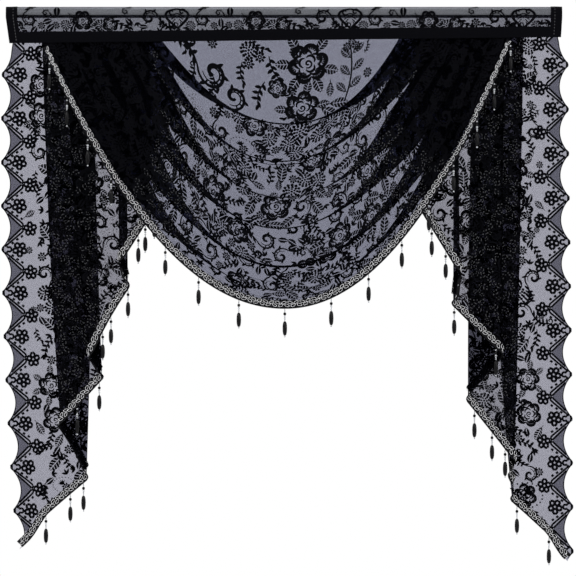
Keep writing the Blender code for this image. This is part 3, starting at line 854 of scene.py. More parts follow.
class LaceWork:
    """Motifs pressed on to the face of a cloth grid, in one mesh."""

    def __init__(self, cloth: ClothGrid, proud: float = 0.4) -> None:
        """Start on one cloth, at a height above its middle."""
        self.cloth = cloth
        self.proud = proud
        self.maker = MeshMaker()
        self.taken = np.empty((0, 3))

    def spread(
        self, shape: Stencil, row: float, column: float, turn: float, size: float
    ) -> tuple[np.ndarray, np.ndarray]:
        """Find the places under a drawing that is laid with its middle at one place.

        Args:
            shape: the drawing.
            row: the row of the grid under the drawing's middle.
            column: the column there.
            turn: degrees, clockwise as seen from the front.
            size: scale of the drawing.

        Returns:
            The rows and the columns.
        """
        cloth = self.cloth
        across, down = turned(shape.points, turn, size)
        row_numbers, column_numbers = np.arange(cloth.rows), np.arange(cloth.columns)
        table = cloth.down[:, int(round(column))]
        rows = np.interp(down + np.interp(row, row_numbers, table), table, row_numbers)
        columns = np.empty(len(across))
        for i, (place, offset) in enumerate(zip(rows, across)):
            lengths = cloth.across[int(round(place))]
            middle = np.interp(column, column_numbers, lengths)
            columns[i] = np.interp(offset + middle, lengths, column_numbers)
        return rows, columns

    def press(self, shape: Stencil, row: float, column: float, turn: float, size: float) -> None:
        """Lay a drawing on the cloth so that it follows its folds; see spread for the arguments."""
        rows, columns = self.spread(shape, row, column, turn, size)
        inside = (rows > 0.0) & (rows < self.cloth.rows - 1.0) & (columns > 0.0)
        inside &= columns < self.cloth.columns - 1.0
        self.put(rows, columns, [face for face in shape.faces if all(inside[i] for i in face)])

    def put(self, rows: np.ndarray, columns: np.ndarray, faces: Sequence[Sequence[int]]) -> None:
        """Add points at places of the grid, a little proud of the cloth's face."""
        cloth = self.cloth
        uvs = np.stack([cloth.read(table, rows, columns) for table in (cloth.across, cloth.down)], axis=1)
        self.maker.add(cloth.lifted(rows, columns, self.proud), faces, uvs)

    def press_spots(self, places: Sequence[Spot]) -> None:
        """Lay motifs where they show in the front view, and keep their room."""
        for spot in places:
            row, column = self.cloth.nearest(spot.x, spot.drop)
            self.press(spot.motif.stencil, row, column, spot.turn, spot.size)
            self.keep(row, column, spot.motif.room * spot.size)

    def keep(self, row: float, column: float, room: float) -> None:
        """Note that the ground about a place is taken."""
        self.taken = np.vstack((self.taken, (row, column, room)))

    def fill(
        self,
        seed: int,
        allowed: Callable[[float, float], bool],
        skip: Callable[[np.ndarray], bool],
        fillers: Sequence[Filler] = FILLERS,
    ) -> None:
        """Fill the open ground with motifs, the large ones first.

        Args:
            seed: start of the even-handed shuffle.
            allowed: tells from a row and a column whether a motif's middle may lie there.
            skip: tells from the rows and columns under a drawing whether it is left out.
            fillers: the motifs, the large ones first.
        """
        cloth = self.cloth
        shuffle = np.random.default_rng(seed)
        row_numbers, column_numbers = np.arange(cloth.rows), np.arange(cloth.columns)
        middle = cloth.across[cloth.rows // 2]
        for filler in fillers:
            for _ in range(filler.tries):
                column_share, row_share, turn = shuffle.random(3)
                width = middle[0] + column_share * (middle[-1] - middle[0])
                column = float(np.interp(width, middle, column_numbers))
                table = cloth.down[:, int(round(column))]
                row = float(np.interp(row_share * table[-1], table, row_numbers))
                if not allowed(row, column) or not self._free(row, column, filler.room):
                    continue
                shape = filler.motif.stencil
                rows, columns = self.spread(shape, row, column, 360.0 * turn, filler.size)
                if skip(np.stack((rows, columns))):
                    continue
                self.put(rows, columns, shape.faces)
                self.keep(row, column, filler.room)

    def _free(self, row: float, column: float, room: float) -> bool:
        """Return whether the ground about a place is free, measured on the cloth."""
        cloth = self.cloth
        if not len(self.taken):
            return True
        rows, columns, rooms = self.taken.T
        here_row, here_column = np.full_like(rows, row), np.full_like(columns, column)
        across = cloth.read(cloth.across, here_row, columns) - cloth.read(cloth.across, here_row, here_column)
        down = cloth.read(cloth.down, rows, here_column) - cloth.read(cloth.down, here_row, here_column)
        return bool(np.all(np.hypot(across, down) > rooms + room))


@dataclass(frozen=True)
class SwagFold:
    """One fold of the swag: where it meets the seam, its lowest point and how far it stands out."""

    name: str
    left: float
    low: float
    right: float
    drop: float
    depth: float
    open_left: float
    open_right: float
    lap: float


SWAG_FOLDS = (
    SwagFold("seam", -290.0, 0.0, 281.0, SEAM_DROP, 8.0, 1.10, 1.0, 0.18),
    SwagFold("first", -330.0, 10.0, 320.0, 273.0, 13.0, 1.10, 1.0, 0.185),
    SwagFold("second", -354.0, -10.0, 364.0, 366.0, 15.0, 0.91, 0.84, 0.205),
    SwagFold("third", -386.0, -4.0, 405.0, 454.0, 12.0, 0.77, 0.68, 0.175),
    SwagFold("fourth", -431.0, -10.0, 449.0, 530.0, 14.0, 0.73, 0.70, 0.195),
    SwagFold("fifth", -481.0, -5.0, 491.0, 623.0, 15.0, 0.71, 0.77, 0.215),
    SwagFold("sixth", -546.0, 0.0, 529.0, 682.0, 11.0, 0.67, 0.74, 0.19),
    SwagFold("hem", -606.0, 2.0, 566.0, 724.0, 8.0, 0.65, 0.73, 0.18),
)


@dataclass(frozen=True)
class SwagCrease:
    """A narrow tuck between two folds: its place and width in folds, and the span of u on which it shows."""

    place: float
    width: float
    start: float
    end: float


SWAG_CREASES = (
    SwagCrease(2.28, 0.060, -0.45, 0.60),
    SwagCrease(3.34, 0.085, -0.30, 0.40),
    SwagCrease(3.66, 0.055, -0.55, 0.35),
    SwagCrease(4.50, 0.050, 0.10, 0.66),
    SwagCrease(4.76, 0.055, -0.58, 0.30),
    SwagCrease(5.55, 0.080, -0.66, 0.55),
    SwagCrease(6.45, 0.080, -0.50, 0.62),
)

SWAG_SPOTS = spots(
    ("LEAFY_ROSE", 60, 126, 10, 1.26), ("LEAFY_ROSE", 47, 234, 60, 1.08), ("MUM", 40, 292, 0, 1.2),
    ("ROSE", -14, 184, 0, 0.62), ("DAISY", 22, 98, 0, 1.0), ("DAISY", 22, 197, 0, 1.0),
    ("DAISY", -174, 75, 0, 1.1), ("DAISY", 154, 85, 0, 1.0), ("DAISY", 179, 80, 0, 1.0),
    ("DAISY", 204, 146, 0, 1.0), ("BRANCH", 155, 150, 15, 1.35), ("SPRIG", -228, 82, 110, 0.9),
    ("SPRIG", -20, 140, 60, 1.2), ("SPRIG", -52, 205, 100, 1.2), ("SPRIG", 24, 260, 170, 0.9),
    ("SPRIG", 200, 85, -60, 0.5), ("SCROLL", -172, 146, 20, 1.6), ("SCROLL", -122, 206, -30, 1.35),
    ("MUM", -88, 92, 0, 1.1), ("DAISY", -58, 108, 0, 1.2), ("DAISY", -84, 124, 0, 1.2),
    ("SPRIG", -100, 150, 80, 1.0), ("SPRIG", -60, 78, 20, 0.9), ("LEAF", 112, 190, 100, 0.6),
    ("LEAF", 140, 222, 10, 0.8), ("LEAF", 112, 246, 40, 0.8), ("DOTTED_RING", -100, 330, 0, 0.95),
    ("MUM", -33, 312, 0, 0.9), ("SPRIG", 70, 335, -20, 0.8), ("ROSE", -128, 395, 0, 0.8),
    ("LEAF", -60, 425, 20, 0.6), ("LEAF", -10, 425, 100, 0.5), ("MUM", 18, 440, 0, 1.1),
    ("DAISY", 25, 410, 0, 0.9), ("LEAF", -25, 450, -30, 0.5), ("ROSE", -20, 475, 0, 0.95),
    ("SCROLL", 150, 330, 30, 0.6), ("SCROLL", 130, 410, 200, 0.7), ("LEAF", 185, 440, -35, 0.8),
    ("DAISY", 15, 373, 0, 0.9), ("SPRIG", -55, 378, 10, 0.7), ("SCROLL", -45, 555, 0, 0.95),
    ("SCROLL", -10, 600, 160, 0.85), ("ROSE", 140, 545, 0, 0.85), ("SPRIG", 90, 525, 60, 0.9),
    ("MUM", 78, 650, 0, 0.95), ("SPRIG", 130, 610, -20, 0.9), ("DAISY", -138, 598, 0, 1.0),
    ("LEAF", -160, 560, 70, 0.7), ("SPRIG", -85, 650, 30, 0.9), ("SCROLL", 50, 590, 200, 0.5),
    ("ROSE", 215, 500, 0, 0.8), ("LEAF", 245, 520, -50, 0.8), ("SPRIG", 280, 470, -60, 1.0),
    ("SCROLL", 240, 400, 250, 0.8), ("LEAF", 215, 330, -60, 0.9), ("SPRIG", 250, 270, -50, 1.0),
    ("ROSE", 60, 700, 0, 0.6), ("LEAF", -10, 690, 0, 0.6), ("LEAF", -250, 440, 50, 0.9),
    ("ROSE", -300, 400, 0, 0.7), ("SCROLL", -235, 520, 30, 0.9), ("SPRIG", -190, 470, 40, 1.0),
    ("SPRIG", -200, 640, 30, 0.9), ("LEAF", -200, 350, 45, 0.9), ("SPRIG", -262, 188, 45, 0.5),
    ("SCROLL", -152, 292, 60, 1.0), ("DAISY", -170, 246, 0, 1.1), ("DAISY", -140, 250, 0, 0.9),
)


@dataclass
class SwagPanel:
    """The lace panel that is pleated at both ends and hangs in curved folds."""

    node: str = "swag_panel"
    slot: str = "swag_lace"
    flat: tuple[float, float] = (1.89, 0.89)
    flat_area: float = 1.15
    sag_power: float = 2.05
    pleat_depth: float = 6.0
    bulge: tuple[float, ...] = (4.0, 26.0, 38.0, 44.0, 48.0, 47.0, 40.0, 34.0)
    free_drop: float = 92.0
    full_drop: float = 260.0
    lap_full_from: float = 0.7
    lap_fades: tuple[float, float] = (6.15, 6.65)
    corner_lap: float = 0.84
    lap_grows_from: float = 0.16
    lap_growth: float = 2.3
    tuck_shift: float = 2.0
    tuck_push: float = 7.0
    rows_a_fold: int = 72
    columns: int = 140
    corner_crowding: float = 1.35
    fill_from: float = 0.92
    left_field: tuple[float, float, float] = (1.05, 1.92, -0.44)
    shine_rows: tuple[float, float] = (0.46, 0.98)
    shine_shares: tuple[float, float] = (0.44, 0.94)
    shine_to_u: float = 0.92
    shine_proud: float = 0.55
    shine_patch: float = -0.8
    motif_seed: int = 11
    shine_seed: int = 13
    across: np.ndarray = field(init=False)
    cloth: ClothGrid = field(init=False)

    def __post_init__(self) -> None:
        """Work out the grid."""
        fold_count = len(SWAG_FOLDS) - 1
        half = self.columns // 2
        right = 1.0 - (1.0 - np.arange(half + 1) / half) ** self.corner_crowding
        self.across = np.concatenate((-right[:0:-1], right))
        down = np.linspace(0.0, fold_count, fold_count * self.rows_a_fold + 1)
        u, t = np.meshgrid(self.across, down)
        self.cloth = ClothGrid(self.surface(u, t), half - 1)

    @staticmethod
    def column(name: str, t: np.ndarray) -> np.ndarray:
        """Return one column of the fold table, read between its rows."""
        return curve([getattr(fold, name) for fold in SWAG_FOLDS], t)

    def base(self, u: np.ndarray, t: np.ndarray) -> tuple[np.ndarray, np.ndarray]:
        """Return x and z on the fold lines, u from -1 to 1 along a fold and t down through the folds."""
        low = self.column("low", t)
        corner = np.where(u < 0.0, self.column("left", t), self.column("right", t))
        drop = self.column("drop", t)
        along = np.abs(u)
        return low + (corner - low) * along, -(drop - (drop - SEAM_DROP) * along**self.sag_power)

    def tuck(self, u: np.ndarray, t: np.ndarray) -> tuple[np.ndarray, np.ndarray]:
        """Return how far the creases shift the cloth, in folds, and how far they push it back, in mm."""
        shift, push = np.zeros_like(t), np.zeros_like(t)
        for crease in SWAG_CREASES:
            shown = smoothstep(crease.start - 0.15, crease.start + 0.1, u)
            shown = shown * (1.0 - smoothstep(crease.end - 0.1, crease.end + 0.15, u))
            g = (t - crease.place) / crease.width
            bell = g * np.exp(-g * g)
            shift += self.tuck_shift * crease.width * bell * shown
            push += self.tuck_push * bell * shown
        return shift, push

    def surface(self, u: np.ndarray, t: np.ndarray) -> np.ndarray:
        """Return points of the cloth.

        Args:
            u: places along a fold.
            t: places down through the folds.

        Returns:
            Points in millimetres, with one more axis than u.
        """
        x, z = self.base(u, t)
        x_next, z_next = self.base(u, t + NUDGE)
        step_x, step_z = (x_next - x) / NUDGE, (z_next - z) / NUDGE
        strength = smoothstep(0.0, self.lap_full_from, t) * (1.0 - smoothstep(*self.lap_fades, t))
        ratio = self.lap(u, t)
        wave = np.sin(math.tau * t)
        shift, push = self.tuck(u, t)
        back = ratio * strength * wave + shift
        hanging = smoothstep(self.free_drop, self.full_drop, -z)
        stand = self.pleat_depth + (self.column("depth", t) - self.pleat_depth) * hanging
        bulge = curve(self.bulge, t - wave / math.tau) * hanging
        y = SEAM_Y + stand * strength * (1.0 + wave**3) - bulge + push * hanging
        return np.stack((x - back * step_x, y, z - back * step_z), axis=-1)

    def lap(self, u: np.ndarray, t: np.ndarray) -> np.ndarray:
        """Return how far the cloth laps over itself, in folds: much at the corners, little in the middle."""
        opened = np.where(u < 0.0, self.column("open_left", t), self.column("open_right", t))
        start = self.lap_grows_from
        share = np.clip((np.abs(u) - start) / (opened - start), 0.0, 1.0)
        middle = self.column("lap", t)
        return middle + (self.corner_lap - middle) * share**self.lap_growth

    def may_fill(self, row: float, column: float) -> bool:
        """Return whether a filling motif may lie at a place: not in the open field above the first fold."""
        t = row / self.rows_a_fold
        u = self.across[int(round(column))]
        start, end, left_of = self.left_field
        return t > self.fill_from and not (start < t < end and u < left_of)

    def may_shine(self, row: float, column: float) -> bool:
        """Return whether a painted highlight fleck may lie at a place: where the cloth lies in front of other
        layers, clear of the black corners.
        """
        t = row / self.rows_a_fold
        u = self.across[int(round(column))]
        opened = float(self.column("open_left" if u < 0.0 else "open_right", np.array(t)))
        share = (abs(u) - self.lap_grows_from) / (opened - self.lap_grows_from)
        in_front = self.shine_rows[0] < t % 1.0 < self.shine_rows[1] and t > 1.0
        patch = math.sin(column * 0.43 + row * 0.31) + math.sin(column * 0.27 - row * 0.52)
        beside = self.shine_shares[0] < share < self.shine_shares[1] and abs(u) < self.shine_to_u
        return in_front and beside and patch > self.shine_patch

    def build(self, looks: dict[str, bpy.types.Material]) -> None:
        """Make the net, the motifs on it and the lighter threads of painted highlight."""
        maker = MeshMaker()
        maker.grid(self.cloth.points, self.cloth.uvs())
        # The net is darker where it turns edge-on: partly its denser look edge-on, partly painted crease shade.
        sheet = maker.build("swag_net", looks["swag_net"], self.slot, [self.node], self.cloth.density_and_shade())
        lace = LaceWork(self.cloth)
        lace.press_spots(SWAG_SPOTS)
        last_row, last_column = self.cloth.rows - 1.5, self.cloth.columns - 1.5

        def over_edge(places: np.ndarray) -> bool:
            """Tell whether a drawing reaches past the cloth."""
            return bool(places.min() < 0.5 or places[0].max() > last_row or places[1].max() > last_column)

        lace.fill(self.motif_seed, self.may_fill, over_edge)
        motifs = lace.maker.build("swag_motifs", looks["thread"], self.slot)
        # Flecks of lighter thread: painted highlight where the cloth lies in front of dark layers.
        shine = LaceWork(self.cloth, self.shine_proud)
        shine.fill(self.shine_seed, self.may_shine, over_edge, PAINTED_HIGHLIGHT_FILLERS)
        painted_highlight_threads = shine.maker.build("swag_painted_highlight_threads", looks["painted_highlight_and_stitch"], self.slot)
        hem = np.linalg.norm(np.diff(self.cloth.points[-1], axis=0), axis=1).sum()
        LOG.info("swag: %.3f m2 of cloth", self.cloth.area())
        LOG.info("swag: %d motifs, %d flecks", len(lace.taken), len(shine.taken))
        LOG.info("swag: hem %.0f mm, middle %.0f mm", hem, self.cloth.down[-1, self.cloth.columns // 2])


@dataclass(frozen=True)
class TailFold:
    """One turn of a tail: its x at the seam, half way down and at the hem, and the hem's depth there."""

    name: str
    top: float
    mid: float
    hem: float
    drop: float


LEFT_EDGE_SPOTS = spots(
    ("SCROLL", 98, 340, 70, 0.85), ("SPRIG", 92, 405, 80, 0.7), ("LEAF", 74, 492, -30, 0.5),
    ("DAISY", 70, 582, 0, 0.8), ("SCROLL", 108, 640, 250, 0.9), ("DAISY", 78, 728, 0, 0.7),
    ("DAISY", 96, 724, 0, 0.9), ("SPRIG", 92, 790, 60, 0.7), ("SPRIG", 116, 822, 110, 0.9),
    ("LEAFY_ROSE", 116, 915, 40, 0.8), ("ROSE", 122, 1000, 0, 0.8), ("LEAF", 84, 1022, 60, 0.6),
    ("LEAF", 128, 1052, 120, 0.6), ("SPRIG", 96, 1075, 150, 0.8), ("SPRIG", 150, 1100, 60, 0.8),
    ("DOTTED_RING", 134, 1160, 0, 0.8), ("SPRIG", 92, 1180, 80, 0.9),
)
RIGHT_EDGE_SPOTS = spots(
    ("SPRIG", 92, 120, 100, 0.7), ("DAISY", 98, 132, 0, 0.6), ("DAISY", 98, 225, 0, 0.9),
    ("SPRIG", 88, 245, 30, 0.6), ("SCROLL", 92, 290, 90, 0.75), ("DAISY", 74, 372, 0, 0.8),
    ("LEAF", 78, 470, -40, 0.5), ("SPRIG", 82, 505, 80, 0.6), ("DAISY", 84, 532, 0, 0.7),
    ("SPRIG", 92, 590, 110, 0.9), ("SCROLL", 94, 650, 250, 0.9), ("DAISY", 76, 742, 0, 0.8),
    ("SPRIG", 96, 800, 70, 0.9), ("LEAFY_ROSE", 112, 900, 200, 0.75), ("ROSE", 110, 985, 0, 0.8),
    ("LEAF", 88, 1035, 60, 0.6), ("SPRIG", 120, 1065, 150, 0.9), ("SCROLL", 110, 1135, 120, 0.8),
    ("SCROLL", 144, 1092, 210, 0.75), ("DAISY", 86, 1128, 0, 0.9), ("ROSE", 122, 1186, 0, 0.75),
    ("DOTTED_RING", 122, 1186, 0, 1.3), ("SPRIG", 84, 1255, 80, 0.7),
)


@dataclass(frozen=True)
class TailCut:
    """One tail: its folds from the inner edge to the scalloped outer edge, and where its scallops fall."""

    name: str
    slot: str
    folds: tuple[TailFold, ...]
    side: float
    tip_drop: float
    tip_pitch: float
    forward_from: float
    forward_to: float
    edge_spots: tuple[Spot, ...]
    seed: int
    flat: tuple[float, float]
    area: float


LEFT_TAIL = TailCut(
    "left_tail",
    "left_tail_lace",
    (
        TailFold("inner_edge", -330.0, -326.0, -321.0, 488.0),
        TailFold("small_pleat_outer", -412.0, -409.0, -402.0, 622.0),
        TailFold("small_pleat_inner", -385.0, -385.0, -383.0, 668.0),
        TailFold("front_outer", -530.0, -517.0, -474.0, 856.0),
        TailFold("front_inner", -468.0, -461.0, -447.0, 892.0),
        TailFold("middle_outer", -593.0, -578.0, -549.0, 1020.0),
        TailFold("middle_inner", -466.0, -472.0, -486.0, 1138.0),
        TailFold("outer_edge", -688.0, -693.0, -659.0, 1300.0),
    ),
    side=-1.0,
    tip_drop=152.0,
    tip_pitch=107.0,
    forward_from=0.60,
    forward_to=0.84,
    edge_spots=LEFT_EDGE_SPOTS,
    seed=21,
    flat=(0.81, 1.26),
    area=0.67,
)
RIGHT_TAIL = TailCut(
    "right_tail",
    "right_tail_lace",
    (
        TailFold("inner_edge", 318.0, 330.0, 338.0, 488.0),
        TailFold("small_pleat_inner", 424.0, 428.0, 431.0, 648.0),
        TailFold("small_pleat_outer", 412.0, 415.0, 415.0, 712.0),
        TailFold("front_outer", 540.0, 537.0, 533.0, 842.0),
        TailFold("middle_inner", 466.0, 455.0, 452.0, 945.0),
        TailFold("middle_outer", 587.0, 580.0, 566.0, 1112.0),
        TailFold("back_inner", 519.0, 521.0, 561.0, 1192.0),
        TailFold("outer_edge", 695.0, 706.0, 712.0, 1338.0),
    ),
    side=1.0,
    tip_drop=128.0,
    tip_pitch=108.5,
    forward_from=0.43,
    forward_to=0.80,
    edge_spots=RIGHT_EDGE_SPOTS,
    seed=31,
    flat=(0.70, 1.29),
    area=0.62,
)


@dataclass
class Tail:
    """A cascade: one lace panel in seven back-and-forth runs, with a scalloped border and a slanted hem."""

    cut: TailCut
    scallop_count: int = 11
    scallop_depth: float = 22.0
    scallop_tip_share: float = 0.09
    scallop_roundness: float = 0.7
    seam_draw: float = 6.0
    border_start: float = 0.84
    turn_share: float = 0.10
    stack_y: float = 2.2
    stack_top_step: float = 2.6
    stack_low_step: float = 10.0
    stack_open: tuple[float, float] = (60.0, 420.0)
    outer_shift_low: float = 22.0
    row_spacing: float = 6.0
    hem_margin: float = 3.0
    hem_passes: int = 14
    hem_dip: float = 24.0
    hem_dip_from: float = 0.42
    hem_dip_to: float = 0.14
    border_dots: tuple[tuple[float, float], ...] = ((28.0, 15.5), (39.5, 24.6), (51.0, 32.0))
    bar_width: float = 3.8
    fill_from: float = 98.0
    omega_in: float = 20.0
    # A fixed darkening of the net on every run but the outer one.
    inner_run_darkening: float = 0.18
    motif_proud: float = 0.4
    bay_proud: float = 0.15
    shine_proud: float = 0.55
    shine_runs: tuple[float, float, float, float] = (2.12, 2.88, 4.12, 4.88)
    shine_patch: float = -0.35
    runs: int = field(init=False)
    full_drop: float = field(init=False)
    columns: np.ndarray = field(init=False)
    net_grid: ClothGrid = field(init=False)
    flat_grid: ClothGrid = field(init=False)

    def __post_init__(self) -> None:
        """Work out the grids: one for the net, cut to the hem and scallops, and one for laying motifs."""
        self.runs = len(self.cut.folds) - 1
        self.full_drop = self.cut.folds[-1].drop
        self.columns = self._columns()
        shares = np.linspace(0.0, 1.0, int((self.full_drop - SEAM_DROP) / self.row_spacing) + 1)
        c, share = np.meshgrid(self.columns, shares)
        down = SEAM_DROP + (self.hem_drop(c) - SEAM_DROP) * share
        for _ in range(self.hem_passes):
            found = SEAM_DROP + (self.hem_drop(self._drawn_in(c, down)) - SEAM_DROP) * share
            down = (down + found) / 2.0
        self.net_grid = ClothGrid(self.surface(self._drawn_in(c, down), down))
        even = np.arange(SEAM_DROP, self.full_drop + 7.0, self.row_spacing)
        c, down = np.meshgrid(self.columns, even)
        self.flat_grid = ClothGrid(self.surface(c, down))

    def hem_drop(self, c: np.ndarray) -> np.ndarray:
        """Return the depth of the hem at places across the cut; it dips towards the outer corner."""
        drops = [fold.drop for fold in self.cut.folds]
        dip = smoothstep(self.runs - self.hem_dip_from, self.runs - self.hem_dip_to, c)
        return np.interp(c, range(len(drops)), drops) + self.hem_dip * dip

    def corner(self) -> float:
        """Return the place across the cut at which the scalloped edge meets the hem."""
        c = np.linspace(self.runs - 1.0 + self.border_start, float(self.runs), 60)
        drop = self.hem_drop(c)
        edge = self.surface(np.full_like(c, float(self.runs)), drop)
        inward = np.linalg.norm(edge - self.surface(c, drop), axis=-1)
        return float(c[inward >= self.scallop(drop)][-1])

    def _columns(self) -> np.ndarray:
        """Return the places across the cloth, close together at each turn and on the border."""
        turn = self.turn_share
        straight = np.linspace(turn, 1.0 - turn, 12)[1:-1]
        steps = np.concatenate((np.linspace(0.0, turn, 6), straight, np.linspace(1.0 - turn, 1.0, 6)))[:-1]
        flat = np.concatenate([run + steps for run in range(self.runs)])
        border = self.runs - 1 + np.linspace(self.border_start, 1.0, 12)
        return np.concatenate((flat[flat < border[0] - NUDGE], border))

    def fold_x(self, index: np.ndarray, drop: np.ndarray) -> np.ndarray:
        """Return x of the numbered folds at a depth below the rod."""
        table = np.array([(f.top, f.mid, f.hem, f.drop) for f in self.cut.folds])[index]
        share = (drop - SEAM_DROP) / (table[..., 3] - SEAM_DROP)
        bow = table[..., 1] - (table[..., 0] + table[..., 2]) / 2.0
        return table[..., 0] + (table[..., 2] - table[..., 0]) * share + 4.0 * bow * share * (1.0 - share)

    def surface(self, c: np.ndarray, drop: np.ndarray) -> np.ndarray:
        """Return points of the cloth.

        Args:
            c: places across the cut, where whole numbers are the folds.
            drop: depths below the rod's axis.

        Returns:
            Points in millimetres, with one more axis than c.
        """
        last = self.runs - 1
        run = np.clip(np.floor(c).astype(int), 0, last)
        share = c - run
        opened = smoothstep(*self.stack_open, drop)
        step = self.stack_top_step + (self.stack_low_step - self.stack_top_step) * opened
        radius = step / 2.0
        start, end = self.fold_x(run, drop), self.fold_x(run + 1, drop)
        way = np.sign(end - start)
        turn = self.turn_share
        first = np.where(run > 0, turn, 0.0)
        final = np.where(run < last, 1.0 - turn, 1.0)
        inner = (share - first) / (final - first)
        x = start + way * radius * (run > 0)
        x = x + (end - way * radius * (run < last) - x) * inner
        y = self.stack_y + run * step
        leaving = (run > 0) & (share < turn)
        angle = share / turn * math.pi / 2.0
        x = np.where(leaving, start + way * radius * (1.0 - np.cos(angle)), x)
        y = np.where(leaving, y - radius * (1.0 - np.sin(angle)), y)
        coming = (run < last) & (share > 1.0 - turn)
        angle = (1.0 - share) / turn * math.pi / 2.0
        x = np.where(coming, end - way * radius * (1.0 - np.cos(angle)), x)
        y = np.where(coming, y + radius * (1.0 - np.sin(angle)), y)
        seam_shift = self.stack_y + last * self.stack_top_step - SEAM_Y
        shift = seam_shift + (self.outer_shift_low - seam_shift) * opened
        forward = smoothstep(self.cut.forward_from, self.cut.forward_to, share)
        y = y - np.where(run == last, shift * forward, 0.0)
        return np.stack((x, y, -drop), axis=-1)

    def scallop(self, drop: np.ndarray) -> np.ndarray:
        """Return how far the outer edge is cut in at a depth; at the seam it lies behind the heading."""
        phase = ((drop - self.cut.tip_drop) / self.cut.tip_pitch) % 1.0
        tip = self.scallop_tip_share
        bow = np.clip((phase - tip / 2.0) / (1.0 - tip), 0.0, 1.0)
        cut_in = self.scallop_depth * np.sin(math.pi * bow) ** self.scallop_roundness
        first_bay = self.cut.tip_drop - self.cut.tip_pitch / 2.0
        above = np.clip((first_bay - drop) / (first_bay - SEAM_DROP), 0.0, 1.0)
        return np.where(drop < first_bay, self.scallop_depth + self.seam_draw * above, cut_in)

    def _drawn_in(self, c: np.ndarray, drop: np.ndarray) -> np.ndarray:
        """Return the places across the cut with those on the border drawn in to the scalloped edge."""
        inner = float(self.runs - 1 + self.border_start)
        edge = self.surface(np.full_like(drop, float(self.runs)), drop)
        width = np.linalg.norm(edge - self.surface(np.full_like(drop, inner), drop), axis=-1)
        share = np.clip((c - inner) / (self.runs - inner), 0.0, 1.0)
        return c - share * self.scallop(drop) / width * (self.runs - inner)

    def border_place(self, inward: np.ndarray, drop: np.ndarray) -> tuple[np.ndarray, np.ndarray]:
        """Return the row and column of the flat grid at a distance in from the tips' line, at a depth."""
        rows = (drop - SEAM_DROP) / self.row_spacing
        numbers = np.arange(self.flat_grid.columns)
        columns = np.empty(len(rows))
        for i, (row, offset) in enumerate(zip(rows, inward)):
            lengths = self.flat_grid.across[int(np.clip(round(row), 0, self.flat_grid.rows - 1))]
            columns[i] = np.interp(lengths[-1] - offset, lengths, numbers)
        return rows, columns

    def inside(self, rows: np.ndarray, columns: np.ndarray, margin: float) -> np.ndarray:
        """Tell which places of the flat grid lie on the cloth, above the hem by a margin."""
        hem = self.hem_drop(np.interp(columns, np.arange(len(self.columns)), self.columns))
        down = SEAM_DROP + rows * self.row_spacing
        return (down > SEAM_DROP) & (down < hem - margin) & (columns > 0.5)

    def put_inward(
        self, lace: LaceWork, inward: np.ndarray, drop: np.ndarray, faces: Sequence[Sequence[int]]
    ) -> None:
        """Lay faces whose points are at distances in from the line of the tips, less those past the hem."""
        rows, columns = self.border_place(inward, drop)
        kept = self.inside(rows, columns, self.hem_margin) & (inward > self.scallop(drop) - 0.5)
        lace.put(rows, columns, [face for face in faces if all(kept[i] for i in face)])

    def press_inward(self, lace: LaceWork, shape: Stencil, spot: tuple[float, float, float, float]) -> None:
        """Lay a drawing at a distance in from the line of the tips, a depth, a turn and a size."""
        inward, drop, turn, size = spot
        across, down = turned(shape.points, turn, size)
        self.put_inward(lace, inward + across, drop + down, shape.faces)

    def border_unit(self, lace: LaceWork, tip: float) -> None:
        """Lay one repeat of the border: a ring, two flowers, double bars and dots about one tip."""
        half = self.cut.tip_pitch / 2.0
        flower = Motif.BORDER_FLOWER.stencil
        if tip > SEAM_DROP + self.omega_in:
            self.press_inward(lace, Motif.OMEGA.stencil, (self.omega_in, tip, 180.0, 1.0))
        self.press_inward(lace, flower, (45.5, tip, 0.0, 1.0))
        self.press_inward(lace, flower, (73.0, tip + half + 3.0, 30.0, 0.96))
        shape = Stencil()
        share = np.linspace(0.0, 1.0, 12)
        for side in (-1.0, 1.0):
            for x, length, y, less in ((4.0, 46.0, 8.0, 10.0), (9.0, 43.0, 7.0, 18.0)):
                bar = np.stack((x + length * share, side * (y + (half - less) * share)), axis=1)
                shape.line(bar, self.bar_width)
            shape.line(arc((50.0, side * (half - 6.5)), 4.0, 5.0, -90, 90), self.bar_width)
            lean = np.array([2.7, side * 2.1])
            for inward, away in self.border_dots:
                middle = np.array([inward, side * away])
                shape.line(np.array([middle - lean, middle, middle + lean]), 4.4)
        self.press_inward(lace, shape, (0.0, tip, 0.0, 1.0))

    def edge_line(self, lace: LaceWork) -> None:
        """Lay a dark thread along the scalloped edge, thickest at the tips."""
        drops = np.arange(SEAM_DROP, self.full_drop, 4.0)
        cut_in = self.scallop(drops)
        width = 2.6 + 4.0 * (1.0 - cut_in / self.scallop_depth) ** 3
        inward = np.concatenate((cut_in + 0.2, cut_in + width))
        self.put_inward(lace, inward, np.concatenate((drops, drops)), ladder(len(drops)))

    def dark_bays(self, lace: LaceWork) -> None:
        """Lay a second net in each bay between the scalloped edge and the bars."""
        half = self.cut.tip_pitch / 2.0
        shares = np.linspace(0.02, 0.98, 33)
        away = np.minimum(shares, 1.0 - shares) * self.cut.tip_pitch
        inner = 5.0 + 44.0 * np.clip((away - 6.0) / (half - 7.5), 0.0, 1.0)
        for number in range(-1, self.scallop_count + 1):
            drops = self.cut.tip_drop + (number + shares) * self.cut.tip_pitch
            outer = np.minimum(self.scallop(drops) + 0.5, inner)
            inward = np.concatenate((outer, inner))
            self.put_inward(lace, inward, np.concatenate((drops, drops)), ladder(len(drops)))

    def may_fill(self, row: float, column: float) -> bool:
        """Return whether a filling motif may lie at a place: clear of the border, and above the hem."""
        lengths = self.flat_grid.across[int(round(row))]
        inward = lengths[-1] - np.interp(column, np.arange(len(lengths)), lengths)
        above_hem = self.inside(np.array([row]), np.array([column]), 4.0)[0]
        return bool(above_hem) and inward > self.fill_from

